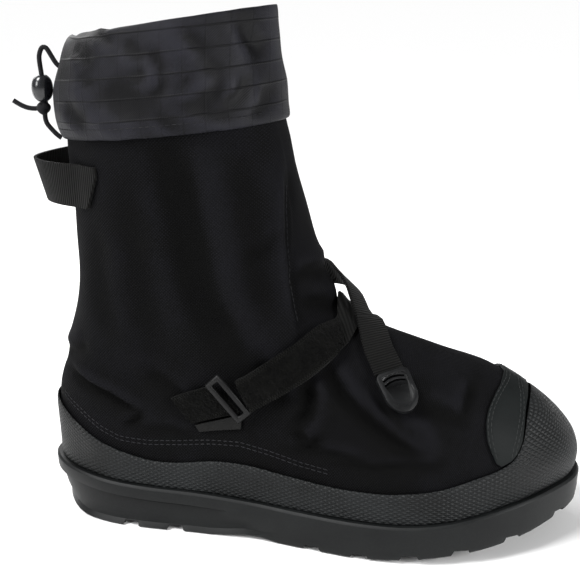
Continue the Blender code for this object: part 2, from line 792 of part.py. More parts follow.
def build_cuff(parts, material):
    """Light nylon cuff, folded over the collar and down the outside."""
    angle = ring_angles(AROUND_CUFF)
    rows = [cuff_ring(row, angle) for row in CUFF_ROWS]
    outer = np.asarray(rows)
    around = np.roll(outer, -1, 1) - np.roll(outer, 1, 1)
    up = np.gradient(outer, axis=0)
    normal = np.cross(around, up)
    normal /= np.linalg.norm(normal, axis=-1, keepdims=True)
    inner = outer - normal * CUFF_THICKNESS
    return closed_rings("cuff", list(outer) + list(inner[::-1]), parts, material)


def build_pull_loop(parts, material):
    """Webbing loop standing off the back of the shaft, sewn down at its ends."""
    end = 0.99
    sewn = 0.74
    angle = np.linspace(-end, end, 33)
    free = np.clip(np.abs(angle) / sewn, 0.0, 1.0)
    stand = (1 - free ** 2) ** 1.5
    top = height_at(1.523) + LOOP_TILT * smooth_step(-angle / end)
    cut = np.clip((np.abs(angle) - 0.82) / (end - 0.82), 0.0, 1.0)
    low = top - LOOP_BAND * (1 - 0.80 * cut)
    rings = []
    for reach, height, lift in ((LOOP_FOOT_REACH, low, 0.0), (LOOP_REACH, top, 0.0),
                                (LOOP_REACH, top, LOOP_THICKNESS),
                                (LOOP_FOOT_REACH, low, LOOP_THICKNESS)):
        off = GAP + reach * stand + lift
        point = on_upper(angle, station_at(angle, height), off)
        point[:, 2] = height
        rings.append(point)
    return capped_strip("pull_loop", np.asarray(rings).transpose(1, 0, 2), parts, material)


def strap_edges(rows, side=1):
    """Both edges of a strap from its rows, as angles and stations."""
    upper_x = sole_x(np.array([row.upper for row in rows]))
    upper_z = height_at([row.upper_level for row in rows])
    lower_x = sole_x(np.array([row.lower for row in rows]))
    lower_z = height_at([row.lower_level for row in rows])
    upper_angle = angle_for(upper_x, upper_z, side)
    lower_angle = angle_for(lower_x, lower_z, side)
    return ((lower_angle, station_at(lower_angle, lower_z)),
            (upper_angle, station_at(upper_angle, upper_z)))


def refine(edge, count):
    """More points along a strap's edge, on one smooth curve."""
    places = np.linspace(0.0, 1.0, len(edge[0]))
    at = np.linspace(0.0, 1.0, count)
    return smooth_value(places, edge[0], at), smooth_value(places, edge[1], at)


def build_anchor(parts, material):
    """Short sewn-down strap end that holds the ring."""
    low, high = strap_edges(ANCHOR_ROWS)
    return band("strap_anchor", refine(low, 7), refine(high, 7), GAP, GAP + ANCHOR_THICKNESS,
                parts, material, steps=4)


def mirrored_edge(edge, ridge_level):
    """A strap's edge carried over the ridge at a level and down the inner side."""
    angle, station = edge
    ridge = station_at(np.pi, height_at(ridge_level))
    return (np.concatenate([angle, [np.pi], 2 * np.pi - angle[::-1]]),
            np.concatenate([station, [ridge], station[::-1]]))


def build_webbing(parts, material):
    """Webbing over the instep, from the ring to the inner side."""
    low, high = strap_edges(HOOK_ROWS)
    low = mirrored_edge(low, RIDGE_LOWER)
    high = mirrored_edge(high, RIDGE_UPPER)
    return band("instep_webbing", refine(low, 33), refine(high, 33), WEBBING_LIFT,
                WEBBING_LIFT + STRAP_THICKNESS, parts, material, steps=4)


def build_hook_strap(parts, material):
    """Free end of the strap, folded back over the ring and pressed down."""
    low, high = strap_edges(HOOK_ROWS)
    under = WEBBING_LIFT + STRAP_THICKNESS + OVERLAY_GAP
    return band("instep_strap", refine(low, 15), refine(high, 15), under, under + HOOK_THICKNESS,
                parts, material, steps=4)


def surface_frame(x, height, side=1):
    """Place and directions on the upper: a point, forward, up and outward."""
    angle = angle_for(x, height, side)
    station = station_at(angle, height)
    point = upper_points(angle, station)
    normal = upper_normals(angle, station)
    up = np.array((0.0, 0.0, 1.0)) - normal * normal[2]
    up /= np.linalg.norm(up)
    return point, np.cross(up, normal), up, normal


def place_on(item, centre, across, along, normal):
    """Move an object's mesh so that its X, Y, Z lie on these directions."""
    across = across / np.linalg.norm(across)
    along = along - across * np.dot(along, across)
    along = along / np.linalg.norm(along)
    outward = np.cross(across, along)
    for vertex in item.data.vertices:
        local = np.array(vertex.co)
        vertex.co = centre + across * local[0] + along * local[1] + outward * local[2]
    item.data.update()


def rounded_outline(width, length, nose, count=6):
    """Plan of a D: straight at its top, round at its bottom."""
    points = []
    corner = min(width, length) * 0.18
    for start, middle in ((0.0, (width / 2 - corner, length / 2 - corner)),
                          (90.0, (-width / 2 + corner, length / 2 - corner))):
        for step in range(count):
            turn = np.radians(start + 90.0 * step / (count - 1))
            points.append((middle[0] + corner * np.cos(turn), middle[1] + corner * np.sin(turn)))
    for step in range(1, 2 * count):
        turn = np.radians(180.0 + 180.0 * step / (2 * count))
        points.append((width / 2 * np.cos(turn), length / 2 - nose + nose * 1.0 * np.sin(turn)))
    return points


def plate(name, outline, low, high, collection, material=None):
    """A flat plate from its outline."""
    count = len(outline)
    points = [(x, y, low) for x, y in outline] + [(x, y, high) for x, y in outline]
    faces = [tuple(range(count)), tuple(range(count, 2 * count))]
    for index in range(count):
        after = (index + 1) % count
        faces.append((index, after, count + after, count + index))
    return add_faces(name, points, faces, collection, material)


def build_ring(parts, cutters, material):
    """Rectangular plastic ring between the anchor and the folded strap."""
    ends = ANCHOR_ROWS[-1], HOOK_ROWS[0]
    top_x = sole_x(ends[0].upper + RING_SHIFT * (ends[1].upper - ends[0].upper))
    foot_x = sole_x(ends[0].lower + RING_SHIFT * (ends[1].lower - ends[0].lower))
    top_z = float(height_at(sum(row.upper_level for row in ends) / 2))
    foot_z = float(height_at(sum(row.lower_level for row in ends) / 2))
    point, forward, up, normal = surface_frame((top_x + foot_x) / 2, (top_z + foot_z) / 2)
    along = forward * (top_x - foot_x) + up * (top_z - foot_z)
    across = np.cross(along, normal)
    bpy.ops.mesh.primitive_cube_add(size=1.0, location=(0, 0, 0))
    ring = bpy.context.object
    ring.name = "strap_ring"
    ring.data.name = "strap_ring"
    for vertex in ring.data.vertices:
        vertex.co = vertex.co.x * RING_DEPTH, vertex.co.y * RING_LENGTH, vertex.co.z * RING_BAR
    for holder in list(ring.users_collection):
        holder.objects.unlink(ring)
    parts.objects.link(ring)
    ring.data.materials.append(material)
    hole_depth = RING_DEPTH - 2 * RING_BAR
    hole_length = RING_LENGTH - 2 * RING_BAR
    outline = [(-hole_depth / 2, -hole_length / 2), (hole_depth / 2, -hole_length / 2),
               (hole_depth / 2, hole_length / 2), (-hole_depth / 2, hole_length / 2)]
    hole = plate("ring_hole", outline, -RING_BAR, RING_BAR, cutters)
    hole.hide_render = True
    hole.display_type = "WIRE"
    lift = GAP + ANCHOR_THICKNESS + GAP + RING_BAR / 2 + 0.0009
    for item in (ring, hole):
        place_on(item, point + normal * lift, -across, along, normal)
    cut = ring.modifiers.new("hole", "BOOLEAN")
    cut.solver = "EXACT"
    cut.operation = "DIFFERENCE"
    cut.object = hole
    soften = ring.modifiers.new("round", "BEVEL")
    soften.width = RING_BAR * 0.22
    soften.segments = 1
    return ring


def build_side_tag(parts, material):
    """Folded label sewn under the strap's anchor, left bare."""
    low, high = strap_edges(TAG_ROWS)
    return band("side_tag", refine(low, 6), refine(high, 6), GAP, GAP + TAG_THICKNESS,
                parts, material, steps=2)


class PathRow(NamedTuple):
    """A place on the front strap before it lies on the vamp."""

    along: float
    side: float
    level: float
    lean: tuple


FREE_ROWS = (
    PathRow(0.508, 0.272, 1.088, (0.60, 0.78, 0.20)),
    PathRow(0.538, 0.190, 1.098, (0.62, 0.62, 0.48)),
    PathRow(0.562, 0.100, 1.094, (0.66, 0.30, 0.68)),
    PathRow(0.582, 0.025, 1.066, (0.76, 0.02, 0.65)),
    PathRow(0.599, -0.035, 1.010, (0.84, -0.22, 0.50)),
)
LAID_ROWS = ((0.6100, 0.945, 0.0042), (0.6315, 0.872, 0.0028), (0.6440, 0.831, 0.0024), (0.6565, 0.791, 0.0022))


def front_strap_path():
    """Centre points and outward directions of the front strap."""
    points, normals = [], []
    for row in FREE_ROWS:
        points.append((sole_x(row.along), row.side * BALL_WIDTH, float(height_at(row.level))))
        normals.append(np.array(row.lean) / np.linalg.norm(row.lean))
    for along, level, lift in LAID_ROWS:
        point, _, _, normal = surface_frame(sole_x(along), float(height_at(level)))
        points.append(point + normal * (lift + FRONT_STRAP_THICKNESS / 2))
        normals.append(normal)
    return np.array(points), np.array(normals)


def build_front_strap(parts, material):
    """Webbing from the inner side of the shaft, over the ridge, to the tab."""
    points, normals = front_strap_path()
    places = np.linspace(0.0, 1.0, len(points))
    at = np.linspace(0.0, 1.0, 22)
    centre = np.stack([smooth_value(places, points[:, axis], at) for axis in range(3)], -1)
    normal = np.stack([smooth_value(places, normals[:, axis], at) for axis in range(3)], -1)
    tangent = np.gradient(centre, axis=0)
    tangent /= np.linalg.norm(tangent, axis=1, keepdims=True)
    across = np.cross(normal, tangent)
    across /= np.linalg.norm(across, axis=1, keepdims=True)
    normal = np.cross(tangent, across)
    half, thin = FRONT_STRAP_WIDTH / 2, FRONT_STRAP_THICKNESS / 2
    rings = np.stack([centre + across * way * half + normal * lift * thin
                      for way, lift in ((-1, -1), (1, -1), (1, 1), (-1, 1))], 1)
    return capped_strip("front_strap", rings, parts, material)


def build_pull_tab(parts, cutters, material):
    """D-shaped plastic tab on the end of the front strap."""
    points, normals = front_strap_path()
    tangent = points[-1] - points[-3]
    tangent /= np.linalg.norm(tangent)
    normal = normals[-1] - tangent * np.dot(normals[-1], tangent)
    normal /= np.linalg.norm(normal)
    across = np.cross(-tangent, normal)
    centre = points[-1] + tangent * (TAB_LENGTH / 2 + GAP) + normal * TAB_THICKNESS * 0.35
    outline = rounded_outline(TAB_WIDTH, TAB_LENGTH, TAB_LENGTH * 0.62)
    tab = plate("pull_tab", outline, -TAB_THICKNESS / 2, TAB_THICKNESS / 2, parts, material)
    shrink = 0.78
    dish = plate("tab_dish", [(x * shrink, y * shrink) for x, y in outline],
                 TAB_THICKNESS * 0.22, TAB_THICKNESS, cutters)
    slot_half, slot_thick, sag = TAB_WIDTH * 0.34, 0.0013, 0.0016
    slots = []
    for step in (0, 1):
        middle = TAB_LENGTH * (0.34 - 0.13 * step)
        across_slot = [slot_half * place for place in (-1.0, -0.5, 0.0, 0.5, 1.0)]
        arch = [(x, middle - sag * (x / slot_half) ** 2) for x in across_slot]
        box = ([(x, y - slot_thick / 2) for x, y in arch]
               + [(x, y + slot_thick / 2) for x, y in reversed(arch)])
        slots.append(plate("tab_slot_%d" % (step + 1), box, -TAB_THICKNESS, TAB_THICKNESS, cutters))
    for item in [tab, dish] + slots:
        place_on(item, centre, across, -tangent, normal)
    for item in [dish] + slots:
        item.hide_render = True
        item.display_type = "WIRE"
        cut = tab.modifiers.new(item.name, "BOOLEAN")
        cut.solver = "EXACT"
        cut.operation = "DIFFERENCE"
        cut.object = item
    return tab


def cuff_place(angle, level):
    """Point and outward direction on the cuff's outer face at a level of its back."""
    levels = [row.back_level for row in CUFF_ROWS[:5]]
    rings = np.array([cuff_ring(row, np.array([angle - 0.05, angle, angle + 0.05]))
                      for row in CUFF_ROWS[:5]])
    shape = np.array([[np.interp(level, levels, rings[:, place, axis]) for axis in range(3)]
                      for place in range(3)])
    run = shape[2] - shape[0]
    normal = np.array((run[1], -run[0], 0.0))
    return shape[1], normal / np.linalg.norm(normal)


def lock_centre():
    """Middle of the cord lock, which lies against the back of the cuff."""
    point, normal = cuff_place(LOCK_ANGLE, 1.758)
    return point + normal * (LOCK_DIAMETER / 2 + 2 * GAP)


def turned(name, profile, place, collection, material, sides=16):
    """A solid turned about a vertical axis, from radii and heights."""
    angle = ring_angles(sides)
    rings = [np.column_stack([radius * np.cos(angle), radius * np.sin(angle),
                              np.full(sides, height)]) + place for radius, height in profile]
    return capped_rings(name, rings, collection, material)


def build_lock_and_knot(parts, plastic, cord):
    """Barrel cord lock on the drawcord, and the knot under it."""
    centre = lock_centre()
    steps = np.linspace(-0.92, 0.92, 9)
    lock = [(LOCK_DIAMETER / 2 * np.sqrt(1 - step ** 2) ** 0.8, LOCK_LENGTH / 2 * step / 0.92)
            for step in steps]
    turned("cord_lock", lock, centre, parts, plastic)
    drop = LOCK_LENGTH / 2 + GAP + KNOT_DIAMETER * 0.46
    knot = [(KNOT_DIAMETER / 2 * np.sqrt(1 - step ** 2), KNOT_DIAMETER * 0.46 * step / 0.92)
            for step in steps]
    turned("cord_knot", knot, centre - (0, 0, drop), parts, cord, sides=12)


def smooth_route(points, spacing):
    """Even points along one smooth curve through the given ones."""
    points = np.asarray(points, float)
    places = np.concatenate([[0], np.cumsum(np.linalg.norm(np.diff(points, axis=0), axis=1))])
    fine = np.linspace(0, places[-1], 200)
    slope = np.gradient(points, places, axis=0)
    cell = np.clip(np.searchsorted(places, fine, side="right") - 1, 0, len(points) - 2)
    step = (places[cell + 1] - places[cell])[:, None]
    share = (fine - places[cell])[:, None] / step
    curve = ((2 * share ** 3 - 3 * share ** 2 + 1) * points[cell]
             + (share ** 3 - 2 * share ** 2 + share) * step * slope[cell]
             + (3 * share ** 2 - 2 * share ** 3) * points[cell + 1]
             + (share ** 3 - share ** 2) * step * slope[cell + 1])
    travel = np.concatenate([[0], np.cumsum(np.linalg.norm(np.diff(curve, axis=0), axis=1))])
    count = max(4, int(round(travel[-1] / spacing)) + 1)
    even = np.linspace(0, travel[-1], count)
    return np.stack([np.interp(even, travel, curve[:, axis]) for axis in range(3)], -1)


def build_cord(name, points, parts, material):
    """A stretch of drawcord as a round tube."""
    route = smooth_route(points, CORD_DIAMETER * 2)
    curve = bpy.data.curves.new(name, "CURVE")
    curve.dimensions = "3D"
    curve.bevel_depth = CORD_DIAMETER / 2
    curve.bevel_resolution = 2
    curve.use_fill_caps = True
    spline = curve.splines.new("POLY")
    spline.points.add(len(route) - 1)
    for index, point in enumerate(route):
        spline.points[index].co = (*point, 1.0)
    curve.materials.append(material)
    item = bpy.data.objects.new(name, curve)
    parts.objects.link(item)
    return item


def build_cords(parts, material):
    """Drawcord: out of the cuff, over to the lock, and from the knot to its end."""
    centre = lock_centre()
    reach = CORD_DIAMETER / 2 + GAP
    cuff_top, out_top = cuff_place(LOCK_ANGLE, 1.842)
    cuff_low, out_low = cuff_place(LOCK_ANGLE, 1.625)
    up = np.array((0.0, 0.0, 1.0))
    lock_top = centre + up * (LOCK_LENGTH / 2 + GAP)
    build_cord("drawcord_upper", [
        cuff_top + out_top * reach,
        cuff_top + out_top * (reach + 0.0022) + up * 0.0036,
        lock_top - out_top * 0.0022 + up * 0.0172,
        lock_top + out_top * 0.0004 + up * 0.0118,
        lock_top,
    ], parts, material)
    knot_middle = centre - up * (LOCK_LENGTH / 2 + GAP + KNOT_DIAMETER * 0.46)
    side = KNOT_DIAMETER / 2 + 2 * GAP
    build_cord("drawcord_tail", [
        knot_middle + out_top * side,
        knot_middle + out_top * (side + 0.0050) + up * 0.0006,
        knot_middle + out_top * (side + 0.0120) + up * 0.0046,
    ], parts, material)
    knot_foot = knot_middle - up * (KNOT_DIAMETER * 0.46 + GAP)
    build_cord("drawcord_lower", [
        knot_foot,
        knot_foot - out_top * 0.0008 - up * 0.0034,
        cuff_low + out_low * reach - up * 0.0040,
    ], parts, material)


def main():
    """Build every piece of the overshoe."""
    for item in list(bpy.data.objects):
        bpy.data.objects.remove(item)
    parts = bpy.data.collections.new("overshoe")
    cutters = bpy.data.collections.new("cutters")
    bpy.context.scene.collection.children.link(parts)
    bpy.context.scene.collection.children.link(cutters)
    rubber = new_material("sole_rubber", (0.035, 0.036, 0.037), 0.55)
    fabric = new_material("shell_fabric", (0.010, 0.010, 0.013), 0.85)
    coated = new_material("coated_cloth", (0.025, 0.026, 0.028), 0.60)
    patch = new_material("toe_patch_cloth", (0.020, 0.024, 0.026), 0.65)
    ripstop = new_material("ripstop_nylon", (0.014, 0.015, 0.020), 0.60)
    webbing = new_material("webbing", (0.009, 0.009, 0.009), 0.80)
    plastic = new_material("moulded_plastic", (0.020, 0.020, 0.021), 0.40)
    foam = new_material("insole_foam", (0.030, 0.030, 0.032), 0.90)
    build_outsole(parts, cutters, rubber)
    build_insole(parts, foam)
    build_upper(parts, fabric)
    build_rand(parts, coated)
    build_toe_patch(parts, patch)
    build_cuff(parts, ripstop)
    build_pull_loop(parts, webbing)
    build_anchor(parts, webbing)
    build_ring(parts, cutters, plastic)
    build_webbing(parts, webbing)
    build_hook_strap(parts, webbing)
    build_side_tag(parts, webbing)
    build_front_strap(parts, webbing)
    build_pull_tab(parts, cutters, plastic)
    build_lock_and_knot(parts, plastic, webbing)
    build_cords(parts, webbing)


main()
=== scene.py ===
"""Looks of a winter overshoe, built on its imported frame. Metres, +X to the toe, +Z up."""

import logging
import math
from dataclasses import dataclass
from enum import Enum
from typing import Callable, Sequence

import bmesh
import bpy
import numpy as np
from mathutils import Matrix, Vector
from mathutils.bvhtree import BVHTree

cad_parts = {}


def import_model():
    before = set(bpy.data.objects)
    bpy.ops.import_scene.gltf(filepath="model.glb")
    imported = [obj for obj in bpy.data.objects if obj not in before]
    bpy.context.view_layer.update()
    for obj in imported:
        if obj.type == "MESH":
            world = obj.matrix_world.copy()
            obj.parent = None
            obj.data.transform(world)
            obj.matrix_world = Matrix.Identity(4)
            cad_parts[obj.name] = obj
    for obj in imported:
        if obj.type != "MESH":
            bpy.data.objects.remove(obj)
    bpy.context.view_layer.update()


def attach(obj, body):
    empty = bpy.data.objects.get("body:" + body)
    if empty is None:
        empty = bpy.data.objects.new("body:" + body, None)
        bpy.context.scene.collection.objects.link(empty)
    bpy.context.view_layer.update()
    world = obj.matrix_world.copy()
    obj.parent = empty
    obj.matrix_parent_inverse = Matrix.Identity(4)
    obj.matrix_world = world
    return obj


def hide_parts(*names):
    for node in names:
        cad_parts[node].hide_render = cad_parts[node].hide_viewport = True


LOG = logging.getLogger("overshoe")
MM = 0.001
ROOT = "root"
SEAM_STEP = 2 * MM
FINE_GRAIN = 1.3 * MM
COAT_ROUGHNESS = 0.12
SHEEN_ROUGHNESS = 0.45
# A finish's shade runs from dark to light this far below and above its mean.
DARK_REACH = 0.30
LIGHT_REACH = 0.40
TINY = 1e-9


class Side(Enum):
    """Side of the shoe that a crease lies on."""

    OUTER = -1.0
    INNER = 1.0
    BOTH = 0.0


def linear(hex_colour: str) -> tuple[float, float, float, float]:
    """Turn an sRGB hex colour into linear values.

    Args:
        hex_colour: Six hex digits.

    Returns:
        Red, green, blue and alpha.
    """
    values = [int(hex_colour[at:at + 2], 16) / 255 for at in (0, 2, 4)]
    turned = [v / 12.92 if v <= 0.04045 else ((v + 0.055) / 1.055) ** 2.4 for v in values]
    return (*turned, 1.0)


def add_node(tree: bpy.types.NodeTree, kind: str, settings: dict | None = None,
             values: dict | None = None, links: dict | None = None) -> bpy.types.Node:
    """Add a shader node with its settings, socket values and links.

    Args:
        tree: Node tree that gets the node.
        kind: Blender's name of the node type.
        settings: Node properties to set.
        values: Input socket values to set.
        links: Input socket to the output socket that feeds it.

    Returns:
        The new node.
    """
    node = tree.nodes.new(kind)
    for name, value in (settings or {}).items():
        setattr(node, name, value)
    for name, value in (values or {}).items():
        node.inputs[name].default_value = value
    for name, source in (links or {}).items():
        tree.links.new(source, node.inputs[name])
    return node


def wave_scale(pitch: float) -> float:
    """Wave Texture scale that gives a band every pitch metres."""
    return 2 * math.pi / (20 * pitch)


class Pattern(Enum):
    """Relief that a finish carries."""

    TWILL = "twill"
    EMBOSS = "emboss"
    RIPSTOP = "ripstop"
    RIBS = "ribs"
    PILE = "pile"
    GRAIN = "grain"


MEAN_HEIGHT = {Pattern.TWILL: 0.25, Pattern.EMBOSS: 0.33, Pattern.RIPSTOP: 0.15,
               Pattern.RIBS: 0.5, Pattern.PILE: 0.5, Pattern.GRAIN: 0.5}


@dataclass(frozen=True)
class Finish:
    """A real finish: its colours, gloss and relief.

    The base colour runs between two shades in soft patches, as cloth and rubber do with wear.
    Pitch and relief are in metres, patch in millimetres. Contrast says how much the relief's
    height lightens the shade, and grain how much fine noise does.
    """

    name: str
    dark: str
    light: str
    roughness: float
    relief: float
    pattern: Pattern = Pattern.GRAIN
    pitch: float = FINE_GRAIN
    patch: float = 18.0
    coat: float = 0.0
    sheen: float = 0.0
    specular: float = 0.5
    contrast: float = 0.45
    grain: float = 0.22

    def material(self) -> bpy.types.Material:
        """Build the node material.

        Returns:
            The material, reading Object coordinates or the piece's own wrap attribute.
        """
        made = bpy.data.materials.new(self.name)
        made.use_nodes = True
        tree = made.node_tree
        shader = tree.nodes["Principled BSDF"]
        where = add_node(tree, "ShaderNodeTexCoord").outputs["Object"]
        wrap = add_node(tree, "ShaderNodeAttribute", {"attribute_name": "wrap"}).outputs["Vector"]
        broad, fine = [
            add_node(tree, "ShaderNodeTexNoise", None,
                     {"Scale": 1 / size, "Detail": detail, "Roughness": rough},
                     {"Vector": where}).outputs["Fac"]
            for size, detail, rough in ((self.patch * MM, 4.0, 0.6), (FINE_GRAIN, 3.0, 0.65))]
        height = self._height(tree, where, wrap, fine)
        shade = broad
        for gain, source in ((self.contrast, height), (self.grain, fine)):
            shade = add_node(tree, "ShaderNodeMath", {"operation": "MULTIPLY_ADD"}, {1: gain},
                             {0: source, 2: shade}).outputs[0]
        # Painted light and shade, with wear and tone, that each piece carries in its own
        # attribute.
        wear_and_painted_light = add_node(tree, "ShaderNodeAttribute", {"attribute_name": "wear_and_painted_light"}).outputs["Fac"]
        shade = add_node(tree, "ShaderNodeMath", {"operation": "ADD"}, None,
                         {0: wear_and_painted_light, 1: shade}).outputs[0]
        # The ramp reads 0 to 1 only, so the shade and the places of its stops are halved.
        shade = add_node(tree, "ShaderNodeMath", {"operation": "MULTIPLY"}, {1: 0.5},
                         {0: shade}).outputs[0]
        ramp = add_node(tree, "ShaderNodeValToRGB", None, None, {"Fac": shade})
        middle = 0.5 + self.contrast * MEAN_HEIGHT[self.pattern] + self.grain * 0.5
        stops = ramp.color_ramp.elements
        stops[0].position = (middle - DARK_REACH) / 2
        stops[0].color = linear(self.dark)
        stops[1].position = (middle + LIGHT_REACH) / 2
        stops[1].color = linear(self.light)
        gloss = add_node(tree, "ShaderNodeMapRange", None,
                         {"From Min": 0.3, "From Max": 0.7, "To Min": self.roughness - 0.07,
                          "To Max": min(1.0, self.roughness + 0.08)}, {"Value": broad})
        bump = add_node(tree, "ShaderNodeBump", None,
                        {"Strength": 1.0, "Distance": self.relief}, {"Height": height})
        for source, socket in ((ramp.outputs["Color"], "Base Color"),
                               (gloss.outputs["Result"], "Roughness"),
                               (bump.outputs["Normal"], "Normal")):
            tree.links.new(source, shader.inputs[socket])
        for socket, value in (("Coat Weight", self.coat), ("Coat Roughness", COAT_ROUGHNESS),
                              ("Sheen Weight", self.sheen), ("Sheen Roughness", SHEEN_ROUGHNESS),
                              ("Specular IOR Level", self.specular)):
            shader.inputs[socket].default_value = value
        return made

    def _height(self, tree: bpy.types.NodeTree, where: bpy.types.NodeSocket,
                wrap: bpy.types.NodeSocket, fine: bpy.types.NodeSocket) -> bpy.types.NodeSocket:
        """Relief from 0 to 1 for this finish's pattern.

        Args:
            tree: Node tree.
            where: Object coordinates.
            wrap: Coordinates that follow the piece, in metres.
            fine: Fine noise.

        Returns:
            Output socket with the height.
        """
        if self.pattern is Pattern.PILE:
            return add_node(tree, "ShaderNodeTexNoise", None,
                            {"Scale": 1 / self.pitch, "Detail": 2.0, "Roughness": 0.8,
                             "Distortion": 1.2}, {"Vector": where}).outputs["Fac"]
        if self.pattern is Pattern.GRAIN:
            return fine
        if self.pattern is Pattern.RIBS:
            return self._wave(tree, wrap, 0.0, self.pitch)
        if self.pattern is Pattern.RIPSTOP:
            return self._ripstop(tree, wrap)
        spread = math.radians(62.0 if self.pattern is Pattern.EMBOSS else 45.0)
        first = self._wave(tree, wrap, spread, self.pitch)
        second = self._wave(tree, wrap, -spread, self.pitch)
        mode = "MINIMUM" if self.pattern is Pattern.EMBOSS else "MULTIPLY"
        return add_node(tree, "ShaderNodeMath", {"operation": mode}, None,
                        {0: first, 1: second}).outputs[0]

    def _ripstop(self, tree: bpy.types.NodeTree,
                 wrap: bpy.types.NodeSocket) -> bpy.types.NodeSocket:
        """Thin raised threads in a wide grid over a fine weave.

        Args:
            tree: Node tree.
            wrap: Coordinates that follow the piece, in metres.

        Returns:
            Output socket with the height.
        """
        weave = self._wave(tree, wrap, math.radians(45.0), 0.9 * MM)
        total = add_node(tree, "ShaderNodeMath", {"operation": "MULTIPLY"}, {1: 0.25},
                         {0: weave}).outputs[0]
        for turn, gain in ((90.0, 0.75), (0.0, 0.30)):
            line = self._wave(tree, wrap, math.radians(turn), self.pitch)
            # A high power leaves only the crest of each wide band, as one thin thread.
            thread = add_node(tree, "ShaderNodeMath", {"operation": "POWER"}, {1: 60.0},
                              {0: line}).outputs[0]
            total = add_node(tree, "ShaderNodeMath", {"operation": "MULTIPLY_ADD"}, {1: gain},
                             {0: thread, 2: total}).outputs[0]
        return total

    @staticmethod
    def _wave(tree: bpy.types.NodeTree, wrap: bpy.types.NodeSocket, turn: float,
              pitch: float) -> bpy.types.NodeSocket:
        """Even bands on the piece's own coordinates.

        Args:
            tree: Node tree.
            wrap: Coordinates that follow the piece, in metres.
            turn: Turn of the bands in radians.
            pitch: Distance from band to band in metres.

        Returns:
            Output socket with the bands, 0 to 1.
        """
        turned = add_node(tree, "ShaderNodeMapping", None, {"Rotation": (0.0, 0.0, turn)},
                          {"Vector": wrap}).outputs["Vector"]
        return add_node(tree, "ShaderNodeTexWave", {"wave_type": "BANDS"},
                        {"Scale": wave_scale(pitch), "Distortion": 0.0},
                        {"Vector": turned}).outputs["Fac"]


# Plain-woven nylon pack cloth: near black with a faint violet cast; threads drawn coarse to show.
PACK_CLOTH = Finish("pack_cloth", "040404", "111114", 0.80, 0.22 * MM, Pattern.TWILL, 1.3 * MM,
                    patch=30.0, specular=0.06, contrast=0.7, grain=0.6)
# Embossed coated cloth: a rubbery film pressed with small bricks, so it shines a little.
EMBOSSED_RAND = Finish("embossed_rand", "060707", "1d1f20", 0.50, 0.42 * MM, Pattern.EMBOSS,
                       2.15 * MM, patch=34.0, specular=0.20, contrast=0.6, grain=0.3)
# Smooth polyurethane film on cloth: flat slate grey with a slight green cast.
TOE_FILM = Finish("toe_film", "090c0c", "141717", 0.60, 0.05 * MM, patch=26.0, specular=0.12)
# Light ripstop nylon: thin shiny cloth with a grid of stronger threads, which look darker.
RIPSTOP_NYLON = Finish("ripstop_nylon", "040406", "1b1b21", 0.52, 0.35 * MM, Pattern.RIPSTOP,
                       11.0 * MM, patch=22.0, sheen=0.01, specular=0.13, contrast=-0.5,
                       grain=0.7)
# Moulded rubber: satin grey, drawn slightly lighter at its sharp edges as wear and painted
# highlight, with painted shade at the heel and painted light at the toe.
MOULDED_RUBBER = Finish("moulded_rubber", "070809", "191b1b", 0.48, 0.05 * MM, patch=40.0,
                        specular=0.18)
# Woven polypropylene webbing: ribs across its length.
WEBBING = Finish("webbing", "010101", "111110", 0.74, 0.45 * MM, Pattern.RIBS, 1.5 * MM,
                 patch=12.0, sheen=0.03, specular=0.10, contrast=0.7, grain=0.4)
# Hook and pile tape: matte loops that scatter light.
PILE_TAPE = Finish("pile_tape", "000000", "0f0f0e", 0.95, 1.2 * MM, Pattern.PILE, 1.1 * MM,
                   patch=6.0, sheen=0.03, specular=0.05, contrast=1.3, grain=0.5)
# Injection-moulded acetal: satin black.
ACETAL = Finish("acetal", "080809", "191a1b", 0.36, 0.04 * MM, patch=9.0, specular=0.26)
# Injection-moulded nylon: the ring is a deeper black than the tab.
RING_NYLON = Finish("ring_nylon", "030303", "0e0e0f", 0.42, 0.04 * MM, patch=9.0, specular=0.22)
# Polished ABS: the cord lock's body catches a bright highlight.
POLISHED_ABS = Finish("polished_abs", "08090b", "17191d", 0.20, 0.02 * MM, patch=9.0, coat=0.5,
                      specular=0.4)
# Braided elastic cord: small ribs that the eye reads as a rough weave.
BRAID = Finish("braid", "050506", "1f1f23", 0.75, 0.35 * MM, Pattern.PILE, 1.2 * MM,
               patch=6.0, sheen=0.05, specular=0.2)
# Bonded polyester thread: a little lighter than the cloth that it holds.
THREAD = Finish("thread", "09090b", "16161b", 0.65, 0.02 * MM, patch=9.0, specular=0.2)
# The toe patch is sewn with a paler thread that shows against its film.
PALE_THREAD = Finish("pale_thread", "141616", "242626", 0.65, 0.02 * MM, patch=9.0, specular=0.2)
# Whipped tape edge: dense stitches that stand out from the pile.
EDGE_THREAD = Finish("edge_thread", "121212", "30302e", 0.7, 0.02 * MM, patch=9.0, specular=0.12)
# Woven satin label, left bare.
BARE_LABEL = Finish("bare_label", "040404", "141413", 0.55, 0.10 * MM, Pattern.RIBS, 0.8 * MM,
                    patch=9.0, specular=0.15)
# Closed-cell foam under thin cloth.
FOAM = Finish("foam", "09090a", "18181b", 0.85, 0.10 * MM, patch=14.0, specular=0.15)


class Wardrobe:
    """Makes each finish's material once."""

    def __init__(self) -> None:
        """Start with nothing made."""
        self._made: dict[str, bpy.types.Material] = {}

    def dress(self, item: bpy.types.Object, finish: Finish) -> None:
        """Give an object one finish.

        Args:
            item: Object to dress.
            finish: Its finish.
        """
        if finish.name not in self._made:
            self._made[finish.name] = finish.material()
        item.data.materials.clear()
        item.data.materials.append(self._made[finish.name])


def deselect() -> None:
    """Deselect everything, the frame's nodes too."""
    bpy.ops.object.select_all(action="DESELECT")


def activate(item: bpy.types.Object) -> None:
    """Make one object the selected and active one."""
    deselect()
    item.select_set(True)
    bpy.context.view_layer.objects.active = item


